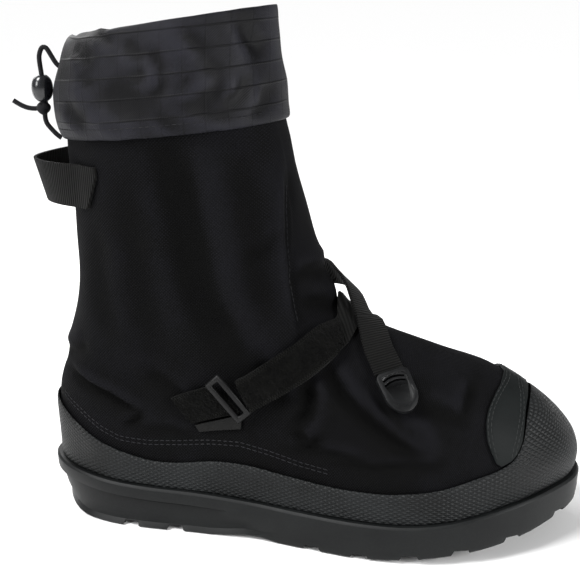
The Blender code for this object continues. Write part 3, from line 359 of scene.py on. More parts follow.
def link_object(name: str, data: bpy.types.ID) -> bpy.types.Object:
    """Make an object and link it to the scene.

    Args:
        name: Name of the object.
        data: Its mesh, curve, light or camera.

    Returns:
        The new object.
    """
    item = bpy.data.objects.new(name, data)
    bpy.context.scene.collection.objects.link(item)
    return item


def apply_modifier(item: bpy.types.Object, kind: str, **settings: object) -> None:
    """Add a modifier and apply it.

    Args:
        item: Mesh object.
        kind: Modifier type.
        settings: Its properties.
    """
    activate(item)
    added = item.modifiers.new(kind.lower(), kind)
    for name, value in settings.items():
        setattr(added, name, value)
    bpy.ops.object.modifier_apply(modifier=added.name)


def round_edges(item: bpy.types.Object, width: float, degrees: float) -> None:
    """Bevel the edges that are sharper than an angle.

    Args:
        item: Mesh object.
        width: Width of the bevel in metres.
        degrees: Angle above which an edge is bevelled.
    """
    apply_modifier(item, "BEVEL", width=width, segments=2, limit_method="ANGLE",
                   angle_limit=math.radians(degrees))


def copy_of_node(node: str, name: str) -> bpy.types.Object:
    """Merged copy of a frame node's mesh, as quads where it can.

    Args:
        node: Frame node.
        name: Name of the copy.

    Returns:
        The new object, at the origin.
    """
    mesh = bpy.data.objects[node].data.copy()
    mesh.name = name
    item = link_object(name, mesh)
    activate(item)
    bpy.ops.object.mode_set(mode="EDIT")
    bpy.ops.mesh.select_all(action="SELECT")
    bpy.ops.mesh.remove_doubles(threshold=0.02 * MM)
    bpy.ops.mesh.tris_convert_to_quads(face_threshold=math.radians(60),
                                       shape_threshold=math.radians(80))
    bpy.ops.mesh.normals_make_consistent(inside=False)
    bpy.ops.object.mode_set(mode="OBJECT")
    return item


def read_vertices(item: bpy.types.Object, field: str) -> np.ndarray:
    """Read one vector from each vertex.

    Args:
        item: Mesh object.
        field: Name of the vertex's vector.

    Returns:
        One row for each vertex.
    """
    flat = np.empty(len(item.data.vertices) * 3, np.float32)
    item.data.vertices.foreach_get(field, flat)
    return flat.reshape(-1, 3).astype(float)


def points_of(item: bpy.types.Object) -> np.ndarray:
    """Vertex places of a mesh object."""
    return read_vertices(item, "co")


def normals_of(item: bpy.types.Object) -> np.ndarray:
    """Vertex normals of a mesh object."""
    return read_vertices(item, "normal")


def set_points(item: bpy.types.Object, points: np.ndarray) -> None:
    """Write vertex places back."""
    item.data.vertices.foreach_set("co", points.astype(np.float32).ravel())
    item.data.update()


def set_wrap(item: bpy.types.Object, wrap: np.ndarray) -> None:
    """Store coordinates that follow the piece, in metres."""
    layer = item.data.attributes.new("wrap", "FLOAT_VECTOR", "POINT")
    layer.data.foreach_set("vector", wrap.astype(np.float32).ravel())


def subdivide_through(item: bpy.types.Object, levels: int, pull: float = 0.85,
                      furthest: float = 1.2 * MM) -> None:
    """Round a mesh by subdivision while it keeps passing through its own corners.

    Args:
        item: Mesh object.
        levels: Subdivision levels.
        pull: How closely the rounded mesh returns to its corners.
        furthest: Furthest that a corner is moved for it, in metres.
    """
    rest = points_of(item)
    trial = item.copy()
    trial.data = item.data.copy()
    bpy.context.scene.collection.objects.link(trial)
    apply_modifier(trial, "SUBSURF", levels=levels, render_levels=levels)
    shrunk = points_of(trial)[:len(rest)]
    bpy.data.objects.remove(trial)
    shift = (rest - shrunk) * pull
    size = np.linalg.norm(shift, axis=1, keepdims=True)
    set_points(item, rest + shift * np.minimum(1.0, furthest / np.maximum(size, TINY)))
    apply_modifier(item, "SUBSURF", levels=levels, render_levels=levels)


def set_wear_and_painted_light(item: bpy.types.Object, wear_and_painted_light: np.ndarray) -> None:
    """Store how much lighter or darker each place is drawn: wear and tone, with painted light and
    shade in creases and along the sole and rand.
    """
    layer = item.data.attributes.new("wear_and_painted_light", "FLOAT", "POINT")
    layer.data.foreach_set("value", wear_and_painted_light.astype(np.float32))


def edge_wear_and_highlight(item: bpy.types.Object, gain: float) -> np.ndarray:
    """How much each corner stands out from its neighbours, to draw sharp edges lighter as wear and
    painted highlight.

    Args:
        item: Mesh object.
        gain: Lightness of a sharp outward edge.

    Returns:
        One value for each point, 0 where it is flat or hollow.
    """
    points, normals = points_of(item), normals_of(item)
    pairs = np.empty(len(item.data.edges) * 2, np.int32)
    item.data.edges.foreach_get("vertices", pairs)
    pairs = pairs.reshape(-1, 2)
    bulge, count = np.zeros(len(points)), np.zeros(len(points))
    for first, last in ((0, 1), (1, 0)):
        here, there = pairs[:, first], pairs[:, last]
        away = points[there] - points[here]
        away /= np.maximum(np.linalg.norm(away, axis=1, keepdims=True), TINY)
        np.add.at(bulge, here, -(away * normals[here]).sum(1))
        np.add.at(count, here, 1)
    # Nearly flat places stay as they are, and the sharpest take the whole gain.
    flat, sharp = 0.12, 0.5
    return np.clip(bulge / np.maximum(count, 1) - flat, 0.0, sharp) / sharp * gain


def smooth(item: bpy.types.Object, degrees: float = 180.0) -> None:
    """Shade smooth, sharp above an angle.

    Args:
        item: Mesh object.
        degrees: Angle above which an edge stays sharp, 180 for none.
    """
    activate(item)
    if degrees >= 180.0:
        bpy.ops.object.shade_smooth()
    else:
        bpy.ops.object.shade_smooth_by_angle(angle=math.radians(degrees))


def around_foot(points: np.ndarray, back: float, front: float) -> np.ndarray:
    """Coordinates around the foot: length around it, height, and nothing.

    Args:
        points: Places.
        back: Place along X where the heel's round starts.
        front: Place along X where the toe's round starts.

    Returns:
        One row of wrap coordinates for each point.
    """
    foot = np.clip(points[:, 0], back, front)
    reach = np.hypot(points[:, 0] - foot, points[:, 1])
    turn = np.arctan2(points[:, 0] - foot, np.maximum(np.abs(points[:, 1]), 1e-6))
    along = foot + turn * np.maximum(reach, 0.03)
    side = np.where(points[:, 1] < 0, 1.0, -1.0)
    return np.column_stack([along * side, points[:, 2], np.zeros(len(points))])


@dataclass(frozen=True)
class Fold:
    """A crease along points on the cloth, in millimetres (X, Z), soft at its ends.

    Depth is positive for a trough; a ridge stands beside it at a share of the depth.
    """

    END_SLOPE = 4
    END_START = 0.15
    RIDGE_SHIFT = 1.35
    SIDE_BLEND = 2.5 * MM

    points: tuple[tuple[float, float], ...]
    depth: float
    width: float
    ridge: float = 0.0
    side: Side = Side.OUTER

    def raise_at(self, points: np.ndarray) -> np.ndarray:
        """How far the cloth moves outwards at each point.

        Args:
            points: Places in metres.

        Returns:
            Heights in metres, negative in the trough.
        """
        line = np.array(self.points) * MM
        flat = points[:, [0, 2]]
        nearest = np.full(len(flat), 1e9)
        signed = np.zeros(len(flat))
        share = np.zeros(len(flat))
        lengths = np.linalg.norm(np.diff(line, axis=0), axis=1)
        total = lengths.sum()
        start = 0.0
        for first, last, length in zip(line[:-1], line[1:], lengths):
            along = (last - first) / length
            reach = np.clip((flat - first) @ along, 0.0, length)
            away = flat - (first + reach[:, None] * along)
            distance = np.linalg.norm(away, axis=1)
            closer = distance < nearest
            nearest = np.where(closer, distance, nearest)
            cross = along[0] * away[:, 1] - along[1] * away[:, 0]
            signed = np.where(closer, np.sign(cross) * distance, signed)
            share = np.where(closer, (start + reach) / total, share)
            start += length
        wide = self.width * MM
        ends = np.clip(np.minimum(share, 1 - share) * self.END_SLOPE + self.END_START, 0.0, 1.0)
        trough = -np.exp(-(nearest / wide) ** 2)
        lift = self.ridge * np.exp(-((signed + self.RIDGE_SHIFT * wide) / wide) ** 2)
        if self.side is Side.BOTH:
            chosen = np.ones(len(flat))
        else:
            chosen = 1 / (1 + np.exp(-self.side.value * points[:, 1] / self.SIDE_BLEND))
        return (trough + lift) * self.depth * MM * ends * chosen


# Creases of the cloth: points, then depth, width and the ridge's share of the depth.
OUTER_FOLDS = (
    Fold(((25, 70), (17, 73), (5, 79), (-9, 83), (-22, 88)), 3.4, 3.2, 0.8),
    Fold(((25, 70), (22, 66), (16, 63)), 2.6, 2.8, 0.6),
    Fold(((90, 102), (78, 116), (66, 140), (60, 177), (55, 209), (45, 232)), 4.2, 10.0, 0.45),
    Fold(((38, 104), (31, 140), (28, 180), (24, 214)), 1.6, 11.0, 0.3),
    Fold(((99, 120), (96, 150), (92, 190), (84, 226)), 1.4, 8.0, 0.4),
    Fold(((9, 114), (5, 149), (4, 183)), 1.2, 8.0, 0.4),
    Fold(((117, 71), (124, 80), (125, 90), (121, 98)), 3.8, 4.2, 0.7),
    Fold(((132, 67), (124, 62), (117, 71)), 3.2, 3.8, 0.5),
    Fold(((186, 61), (172, 69), (159, 78), (145, 89), (132, 105)), 4.2, 3.8, 0.95),
    Fold(((196, 65), (188, 76), (174, 81)), -2.0, 3.6, 0.0),
    Fold(((184, 70), (172, 80), (160, 90)), 2.0, 3.6, 0.7),
    Fold(((212, 77), (198, 83), (185, 87)), 1.8, 3.4, 0.7),
    Fold(((213, 95), (210, 88), (208, 80)), 2.4, 3.4, 0.6),
    Fold(((160, 57), (137, 59), (112, 59)), 1.6, 3.0, 0.8),
    Fold(((182, 58), (159, 53), (136, 54)), 1.5, 2.8, 0.7),
    Fold(((86, 69), (70, 77), (60, 89)), 2.2, 5.5, 0.5),
    Fold(((110, 84), (104, 96), (96, 108)), 2.4, 4.8, 0.6),
    Fold(((52, 78), (42, 88), (30, 96)), 1.7, 5.5, 0.5),
    Fold(((60, 58), (40, 62), (22, 60)), 1.2, 3.6, 0.5),
    Fold(((-8, 108), (-20, 100), (-30, 96)), 1.6, 4.0, 0.6),
    Fold(((200, 60), (190, 56), (176, 56)), 1.2, 3.2, 0.5),
)
INNER_FOLDS = (
    Fold(((24, 66), (12, 74), (-4, 82), (-20, 90)), 3.0, 3.8, 0.7, Side.INNER),
    Fold(((86, 104), (70, 125), (62, 160), (58, 200), (50, 230)), 3.4, 10.0, 0.4, Side.INNER),
    Fold(((40, 100), (30, 130), (24, 170), (20, 210)), 1.8, 10.0, 0.3, Side.INNER),
    Fold(((170, 66), (156, 76), (142, 88), (128, 104)), 3.6, 4.4, 0.8, Side.INNER),
    Fold(((204, 72), (190, 82), (176, 92)), 2.0, 4.0, 0.6, Side.INNER),
    Fold(((122, 66), (116, 78), (110, 92)), 2.8, 4.5, 0.6, Side.INNER),
    Fold(((168, 58), (140, 60), (112, 58)), 1.4, 3.4, 0.6, Side.INNER),
)
FRONT_FOLDS = (
    Fold(((128, 150), (120, 155), (112, 152)), 2.0, 3.4, 0.6, Side.BOTH),
    Fold(((138, 130), (126, 136), (116, 138)), 1.8, 3.6, 0.6, Side.BOTH),
    Fold(((107.4, 214), (107.6, 202), (108.2, 188), (109.2, 172), (110.8, 157), (113, 137),
          (116.4, 125)), 1.7, 1.9, 0.9),
    Fold(((107, 176), (98, 168), (88, 166)), 1.2, 4.0, 0.5),
)


def soft_noise(points: np.ndarray, size: float, seed: int) -> np.ndarray:
    """Smooth unevenness of cloth, about -1 to 1.

    Args:
        points: Places in metres.
        size: Size of its bumps in metres.
        seed: Seed of the waves' directions.

    Returns:
        One value for each point.
    """
    waves = 14
    draw = np.random.default_rng(seed)
    total = np.zeros(len(points))
    for octave in range(waves):
        direction = draw.normal(size=3)
        direction /= np.linalg.norm(direction)
        reach = size * draw.uniform(0.6, 1.7)
        phase = draw.uniform(0, 2 * math.pi)
        total += np.sin(points @ direction * 2 * math.pi / reach + phase + octave)
    return total / math.sqrt(waves)


def resample(points: Sequence[Vector], step: float) -> list[Vector]:
    """Points at even steps along a line.

    Args:
        points: The line's points.
        step: Distance from point to point in metres.

    Returns:
        The new points, with both ends.
    """
    line = np.array(points, float)
    lengths = np.concatenate([[0.0], np.cumsum(np.linalg.norm(np.diff(line, axis=0), axis=1))])
    count = max(2, int(round(lengths[-1] / step)) + 1)
    at = np.linspace(0.0, lengths[-1], count)
    columns = [np.interp(at, lengths, line[:, axis]) for axis in range(3)]
    return [Vector(row) for row in np.column_stack(columns)]


class Surface:
    """Finds places on a finished piece."""

    def __init__(self, item: bpy.types.Object) -> None:
        """Keep a tree of the piece's faces.

        Args:
            item: Mesh object.
        """
        mesh = bmesh.new()
        mesh.from_mesh(item.data)
        self.tree = BVHTree.FromBMesh(mesh)
        mesh.free()

    def outer(self, x: float, z: float, side: float = -1.0) -> Vector:
        """Outermost place on one side of the shoe.

        Args:
            x: Place along X in metres.
            z: Height in metres.
            side: -1 for the outer side, 1 for the inner side.

        Returns:
            The place, or the nearest one where the piece has none at that X and Z.
        """
        hit = self.tree.ray_cast(Vector((x, side * 0.2, z)), Vector((0, -side, 0)))[0]
        if hit is None:
            hit = self.tree.find_nearest(Vector((x, side * 0.03, z)))[0]
        return hit

    def along(self, line: Sequence[Vector], step: float) -> list[tuple[Vector, Vector]]:
        """Even places on the piece along a line.

        Args:
            line: Points on or near the piece.
            step: Distance from place to place in metres.

        Returns:
            Places with their outward directions.
        """
        return [self.tree.find_nearest(spot)[:2] for spot in resample(line, step)]


class Stitcher:
    """Sews rows of stitches along lines on a piece."""

    STITCH = 2.6 * MM
    GAP = 0.9 * MM
    THICK = 0.24 * MM
    ZIGZAG_PACE = 0.75 * MM
    FLATTEN = 1.3
    # Share of the length, height and width of each ring of a stitch.
    PROFILE = ((0.0, -0.2, 0.6), (0.2, 0.45, 1.0), (0.8, 0.45, 1.0), (1.0, -0.2, 0.6))
    CORNERS = ((-1, 0), (0, 1), (1, 0), (0, -1))

    def __init__(self, wardrobe: Wardrobe) -> None:
        """Keep the finishes."""
        self.wardrobe = wardrobe

    def row(self, name: str, line: Sequence[tuple[Vector, Vector]], slot: str,
            finish: Finish = THREAD, zigzag: float = 0.0) -> bpy.types.Object:
        """One row of stitches, each a small four-sided thread lying on the cloth.

        Args:
            name: Name of the piece.
            line: Places and outward directions along the seam.
            slot: Not used.
            finish: Thread.
            zigzag: Half width of a zigzag row, or 0.

        Returns:
            The stitches as one mesh.
        """
        places = np.array([place for place, _ in line], float)
        outward = np.array([normal for _, normal in line], float)
        lengths = np.concatenate([[0], np.cumsum(np.linalg.norm(np.diff(places, axis=0), axis=1))])
        reach, pace = self.STITCH, self.STITCH + self.GAP
        if zigzag:
            reach = pace = self.ZIGZAG_PACE
        made = bmesh.new()
        for index in range(max(1, int(lengths[-1] / pace))):
            start = index * pace
            ends = np.minimum(np.array([start, start + reach]), lengths[-1])
            spot, lift = [np.column_stack([np.interp(ends, lengths, rows[:, axis])
                                           for axis in range(3)]) for rows in (places, outward)]
            along = spot[1] - spot[0]
            if np.linalg.norm(along) < 1e-6:
                continue
            along = along / np.linalg.norm(along)
            across = np.cross(lift[0], along)
            across /= np.linalg.norm(across)
            if zigzag:
                way = 1.0 if index % 2 else -1.0
                spot = spot + np.array([across * zigzag * way, -across * zigzag * way])
            self._thread(made, spot, lift, across)
        mesh = bpy.data.meshes.new(name)
        made.to_mesh(mesh)
        made.free()
        item = link_object(name, mesh)
        self.wardrobe.dress(item, finish)
        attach(item, ROOT)
        LOG.info("sewed %s", name)
        return item

    def _thread(self, made: bmesh.types.BMesh, spot: np.ndarray, lift: np.ndarray,
                across: np.ndarray) -> None:
        """One stitch: sunk at both ends, proud in its middle.

        Args:
            made: Mesh that gets the stitch.
            spot: Its two ends.
            lift: Outward direction at each end.
            across: Direction across it.
        """
        rings = []
        for share, rise, wide in self.PROFILE:
            out = lift[0] + (lift[1] - lift[0]) * share
            centre = spot[0] + (spot[1] - spot[0]) * share + out * self.THICK * rise
            rings.append([made.verts.new(centre + across * self.THICK * wide * way * self.FLATTEN
                                         + out * self.THICK * wide * up)
                          for way, up in self.CORNERS])
        for first, last in zip(rings[:-1], rings[1:]):
            for index in range(4):
                after = (index + 1) % 4
                made.faces.new((first[index], first[after], last[after], last[index]))
        made.faces.new(rings[0][::-1])
        made.faces.new(rings[-1])


@dataclass
class Assembly:
    """A sub-assembly with the finishes and the stitcher that it uses."""

    wardrobe: Wardrobe
    stitcher: Stitcher

    def fit(self, item: bpy.types.Object, finish: Finish, slot: str, *nodes: str) -> None:
        """Dress a piece, let it stand for its CAD nodes and let it ride.

        Args:
            item: The piece.
            finish: Its finish.
            slot: Not used.
            nodes: CAD nodes that it replaces.
        """
        self.wardrobe.dress(item, finish)
        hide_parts(*nodes)
        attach(item, ROOT)
        LOG.info("built %s", item.name)


@dataclass
class Sole(Assembly):
    """Moulded outsole and the foam insole in its tray."""

    edge: float = 0.5 * MM
    foam_edge: float = 1.0 * MM
    painted_light_x: tuple[float, ...] = (0.0, 0.08, 0.18, 0.26)
    painted_light_offset: tuple[float, ...] = (-0.16, -0.04, 0.0, 0.10)

    def build(self) -> None:
        """Soften the sole's edges and dress both."""
        sole = copy_of_node("outsole", "sole")
        round_edges(sole, self.edge, 32)
        # Painted shade at the heel and painted light at the toe, with sharp edges drawn lighter as
        # wear and painted highlight.
        painted_light_along = np.interp(points_of(sole)[:, 0], self.painted_light_x, self.painted_light_offset)
        set_wear_and_painted_light(sole, edge_wear_and_highlight(sole, 0.6) + painted_light_along)
        smooth(sole, 34.0)
        self.fit(sole, MOULDED_RUBBER, "rubber", "outsole")
        insole = copy_of_node("insole", "footbed")
        round_edges(insole, self.foam_edge, 40)
        smooth(insole, 40.0)
        self.fit(insole, FOAM, "foam", "insole")


@dataclass
class Upper(Assembly):
    """Fabric upper and shaft, with its creases, seams and flap stitches."""

    levels: int = 2
    seam_z: tuple[tuple[float, float], ...] = (
        (-28, 71), (-15, 65), (-1, 57.5), (12, 53), (30, 52), (49, 53.5), (67, 56), (85, 57),
        (102, 54), (120, 49.5), (137, 46.5))
    flap: tuple[tuple[float, float], ...] = (
        (107, 202), (107.6, 188), (108.6, 172), (110.2, 157), (112.4, 137), (115.6, 126))
    row_gap: float = 2.4
    fold_gain: float = 1.3
    bump_size: float = 0.045
    bump_height: float = 0.45
    deepest: float = -6.5 * MM
    highest: float = 3.2 * MM
    hold_x: tuple[float, ...] = (-0.04, 0.02, 0.08, 0.15, 0.21, 0.26)
    hold_z: tuple[float, ...] = (0.052, 0.043, 0.046, 0.041, 0.05, 0.075)
    dull_x: tuple[float, ...] = (0.02, 0.08, 0.18, 0.215)
    dull: tuple[float, ...] = (0.10, 0.22, 0.20, 0.0)

    def build(self) -> None:
        """Build the cloth, crease it and sew it."""
        cloth = copy_of_node("upper", "cloth_upper")
        subdivide_through(cloth, self.levels)
        points = points_of(cloth)
        outward = self._outward(points, normals_of(cloth))
        free = self._free(points)
        move = sum(fold.raise_at(points) for fold in OUTER_FOLDS + INNER_FOLDS + FRONT_FOLDS)
        move = np.clip(move * self.fold_gain, self.deepest, self.highest)
        # Painted shade in the creases' troughs and painted light on their ridges, added to the
        # cloth's colour.
        wear_and_painted_light = np.clip(move / (5.0 * MM), -0.5, 0.4)
        move = (move + soft_noise(points, self.bump_size, 7) * self.bump_height * MM) * free
        low = np.clip((0.125 - points[:, 2]) / 0.03, 0, 1)
        dull = low * np.interp(points[:, 0], self.dull_x, self.dull)
        set_wear_and_painted_light(cloth, wear_and_painted_light * free + soft_noise(points, 0.05, 3) * 0.03 - dull)
        set_points(cloth, points + outward * move[:, None])
        set_wrap(cloth, around_foot(points, 0.0, 0.10))
        smooth(cloth)
        self.fit(cloth, PACK_CLOTH, "fabric", "upper")
        surface = Surface(cloth)
        for name, route, shift in (("seam_heel_0", self.seam_z, 0.0),
                                   ("seam_heel_1", self.seam_z, self.row_gap),
                                   ("seam_flap", self.flap, 0.0)):
            line = [surface.outer(x * MM, (z + shift) * MM) for x, z in route]
            self.stitcher.row(name, surface.along(line, SEAM_STEP), "fabric")

    @staticmethod
    def _outward(points: np.ndarray, normals: np.ndarray) -> np.ndarray:
        """Direction out of the shoe at each point, the same on both faces of the wall.

        Args:
            points: Places in metres.
            normals: Normals at them.

        Returns:
            Each normal, turned to point out of the shoe.
        """
        foremost = np.interp(points[:, 2], (0.06, 0.13), (0.215, 0.09))
        middle = np.column_stack([np.clip(points[:, 0], 0.0, foremost), np.zeros(len(points)),
                                  np.minimum(points[:, 2], 0.045 + points[:, 2] * 0.5)])
        away = points - middle
        facing = np.sign((normals * away).sum(1))
        facing[facing == 0] = 1.0
        return normals * facing[:, None]

    def _free(self, points: np.ndarray) -> np.ndarray:
        """How far the cloth may move, where nothing else holds it.

        Args:
            points: Places in metres.

        Returns:
            1 where it is free, 0 where the sole, rand, patch or cuff holds it.
        """
        held = np.interp(points[:, 0], self.hold_x, self.hold_z)
        low = np.clip((points[:, 2] - held) / 0.007, 0, 1)
        high = np.clip((0.236 - points[:, 2]) / 0.012, 0, 1)
        toe = np.clip((0.226 - points[:, 0]) / 0.010, 0, 1)
        return low * high * np.where(points[:, 2] < 0.13, toe, 1.0)


@dataclass
class Rand(Assembly):
    """Embossed coated band around the foot."""

    levels: int = 2
    shade_x: tuple[float, ...] = (-0.02, 0.03, 0.05, 0.09, 0.16, 0.20, 0.25)
    shade: tuple[float, ...] = (-0.30, 0.10, 0.18, 0.0, 0.05, 0.0, 0.0)

    def build(self) -> None:
        """Round the band and press its pattern."""
        band = copy_of_node("rand", "coated_rand")
        subdivide_through(band, self.levels)
        points = points_of(band)
        normals = normals_of(band)
        set_points(band, points + normals * (soft_noise(points, 0.03, 11) * 0.16 * MM)[:, None])
        set_wrap(band, around_foot(points, 0.0, 0.222))
        # Painted shade at the heel and painted light along the waist and mid-foot, added to the
        # band's colour.
        lighter = np.interp(points[:, 0], self.shade_x, self.shade)
        set_wear_and_painted_light(band, lighter + soft_noise(points, 0.03, 2) * 0.03)
        smooth(band)
        self.fit(band, EMBOSSED_RAND, "coated_fabric", "rand")


@dataclass
class ToePatch(Assembly):
    """Smooth film patch over the toe with a double row of stitches at each edge."""

    edge: float = 0.35 * MM
    rows: tuple[float, ...] = (1.6 * MM, 3.4 * MM)
    # Height of the line inside the toe around which the patch is followed.
    core: float = 0.052

    def build(self) -> None:
        """Round the patch and sew its edges."""
        patch = copy_of_node("toe_patch", "film_patch")
        round_edges(patch, self.edge, 50)
        smooth(patch, 60.0)
        self.fit(patch, TOE_FILM, "patch", "toe_patch")
        surface = Surface(patch)
        points = points_of(patch)
        for side, inward in (("rear", 1.0), ("front", -1.0)):
            for index, inset in enumerate(self.rows):
                line = self._edge_line(surface, points, inward, inset)
                self.stitcher.row("patch_%s_%d" % (side, index), line, "patch", PALE_THREAD)

    def _edge_line(self, surface: Surface, points: np.ndarray, inward: float,
                   inset: float) -> list[tuple[Vector, Vector]]:
        """Line just inside the patch's rear or front edge, over the toe's ridge.

        Args:
            surface: The patch's surface.
            points: Its vertex places.
            inward: 1 at the rear edge, -1 at the front edge.
            inset: Distance from the edge in metres.

        Returns:
            Places with their outward directions.
        """
        turns = np.arctan2(points[:, 2] - self.core, -points[:, 1])
        angles, places = [], []
        for angle in np.linspace(turns.min() + 0.03, turns.max() - 0.03, 30):
            near = points[np.abs(turns - angle) < 0.10]
            if len(near):
                angles.append(angle)
                places.append((near[:, 0] * inward).min() * inward)
        curve = np.polynomial.Polynomial.fit(angles, places, 6)
        line = []
        for angle in np.linspace(turns.min() + 0.10, turns.max() - 0.10, 60):
            out = Vector((0.0, -math.cos(angle), math.sin(angle)))
            x = float(curve(angle)) + inward * inset
            hit = surface.tree.ray_cast(Vector((x, 0.0, self.core)) + out * 0.2, -out)[0]
            if hit is not None:
                line.append(hit)
        return surface.along(line, SEAM_STEP)


@dataclass
class Cuff(Assembly):
    """Light ripstop nylon folded over the collar, softly crumpled."""

    levels: int = 2
    hem_slope: float = 0.09
    deepest: float = -3.0 * MM
    highest: float = 2.4 * MM
    crumples: tuple[tuple[float, float, float, float, float, float], ...] = (
        (10, 253, 38, 247, 2.8, 8.0), (24, 262, 30, 238, 2.2, 7.0), (-8, 246, 6, 236, 2.0, 4.5),
        (-4, 276, 12, 268, 1.8, 3.8), (44, 275, 52, 262, 2.4, 3.2), (52, 262, 44, 252, 1.7, 3.0),
        (60, 284, 72, 272, 2.0, 3.2), (86, 292, 94, 268, 2.6, 4.0), (78, 258, 66, 250, 2.3, 3.4),
        (90, 262, 80, 246, 2.3, 3.4), (60, 248, 84, 240, 1.9, 3.2), (30, 278, 42, 270, 1.8, 3.4),
        (70, 268, 80, 262, 1.7, 2.8), (12, 284, 26, 278, 1.4, 3.0), (98, 256, 92, 240, 2.0, 3.2),
        (46, 243, 58, 236, 1.7, 3.0), (2, 262, 14, 256, 1.6, 3.2), (34, 262, 42, 266, 1.5, 2.8),
        (56, 256, 64, 262, 1.5, 2.8), (96, 276, 86, 282, 1.6, 3.0), (16, 240, 30, 234, 1.4, 3.0))

    def build(self) -> None:
        """Crumple the cuff and sew its hem."""
        cuff = copy_of_node("cuff", "folded_cuff")
        subdivide_through(cuff, self.levels)
        points = points_of(cuff)
        normals = normals_of(cuff)
        away = points - np.array([0.04, 0.0, 0.0])
        away[:, 2] = 0
        facing = np.where((normals * away).sum(1) < 0, -1.0, 1.0)
        move = soft_noise(points, 0.034, 5) * 0.55 * MM
        for x0, z0, x1, z1, depth, width in self.crumples:
            for side in (Side.OUTER, Side.INNER):
                fold = Fold(((x0, z0), ((x0 + x1) / 2 + 2, (z0 + z1) / 2 - 2), (x1, z1)),
                            depth, width, 0.6, side)
                move = move + fold.raise_at(points)
        move = np.clip(move, self.deepest, self.highest)
        # Painted shade in the crumples' troughs and painted light on their ridges, added to the
        # nylon's colour.
        set_wear_and_painted_light(cuff, np.clip(move / (3.2 * MM), -0.6, 0.5))
        hold = np.clip((points[:, 2] - self._hem(points[:, 0])) / 0.006, 0.35, 1)
        top = np.clip((0.292 - points[:, 2]) / 0.010, 0.3, 1)
        set_points(cuff, points + normals * (facing * move * hold * top)[:, None])
        wrap = around_foot(points, 0.02, 0.07)
        wrap[:, 1] = points[:, 2] - points[:, 0] * self.hem_slope
        set_wrap(cuff, wrap)
        smooth(cuff)
        self.fit(cuff, RIPSTOP_NYLON, "ripstop", "cuff")
        surface = Surface(cuff)
        for name, side in (("hem_outer", -1.0), ("hem_inner", 1.0)):
            line = [surface.outer(float(x), float(self._hem(x)) + 0.005, side)
                    for x in np.linspace(-0.018, 0.098, 30)]
            self.stitcher.row(name, surface.along(line, SEAM_STEP), "ripstop")

    @staticmethod
    def _hem(x: np.ndarray) -> np.ndarray:
        """Height of the cuff's hem along X."""
        return np.interp(x, (-0.028, 0.105), (0.2252, 0.2372))


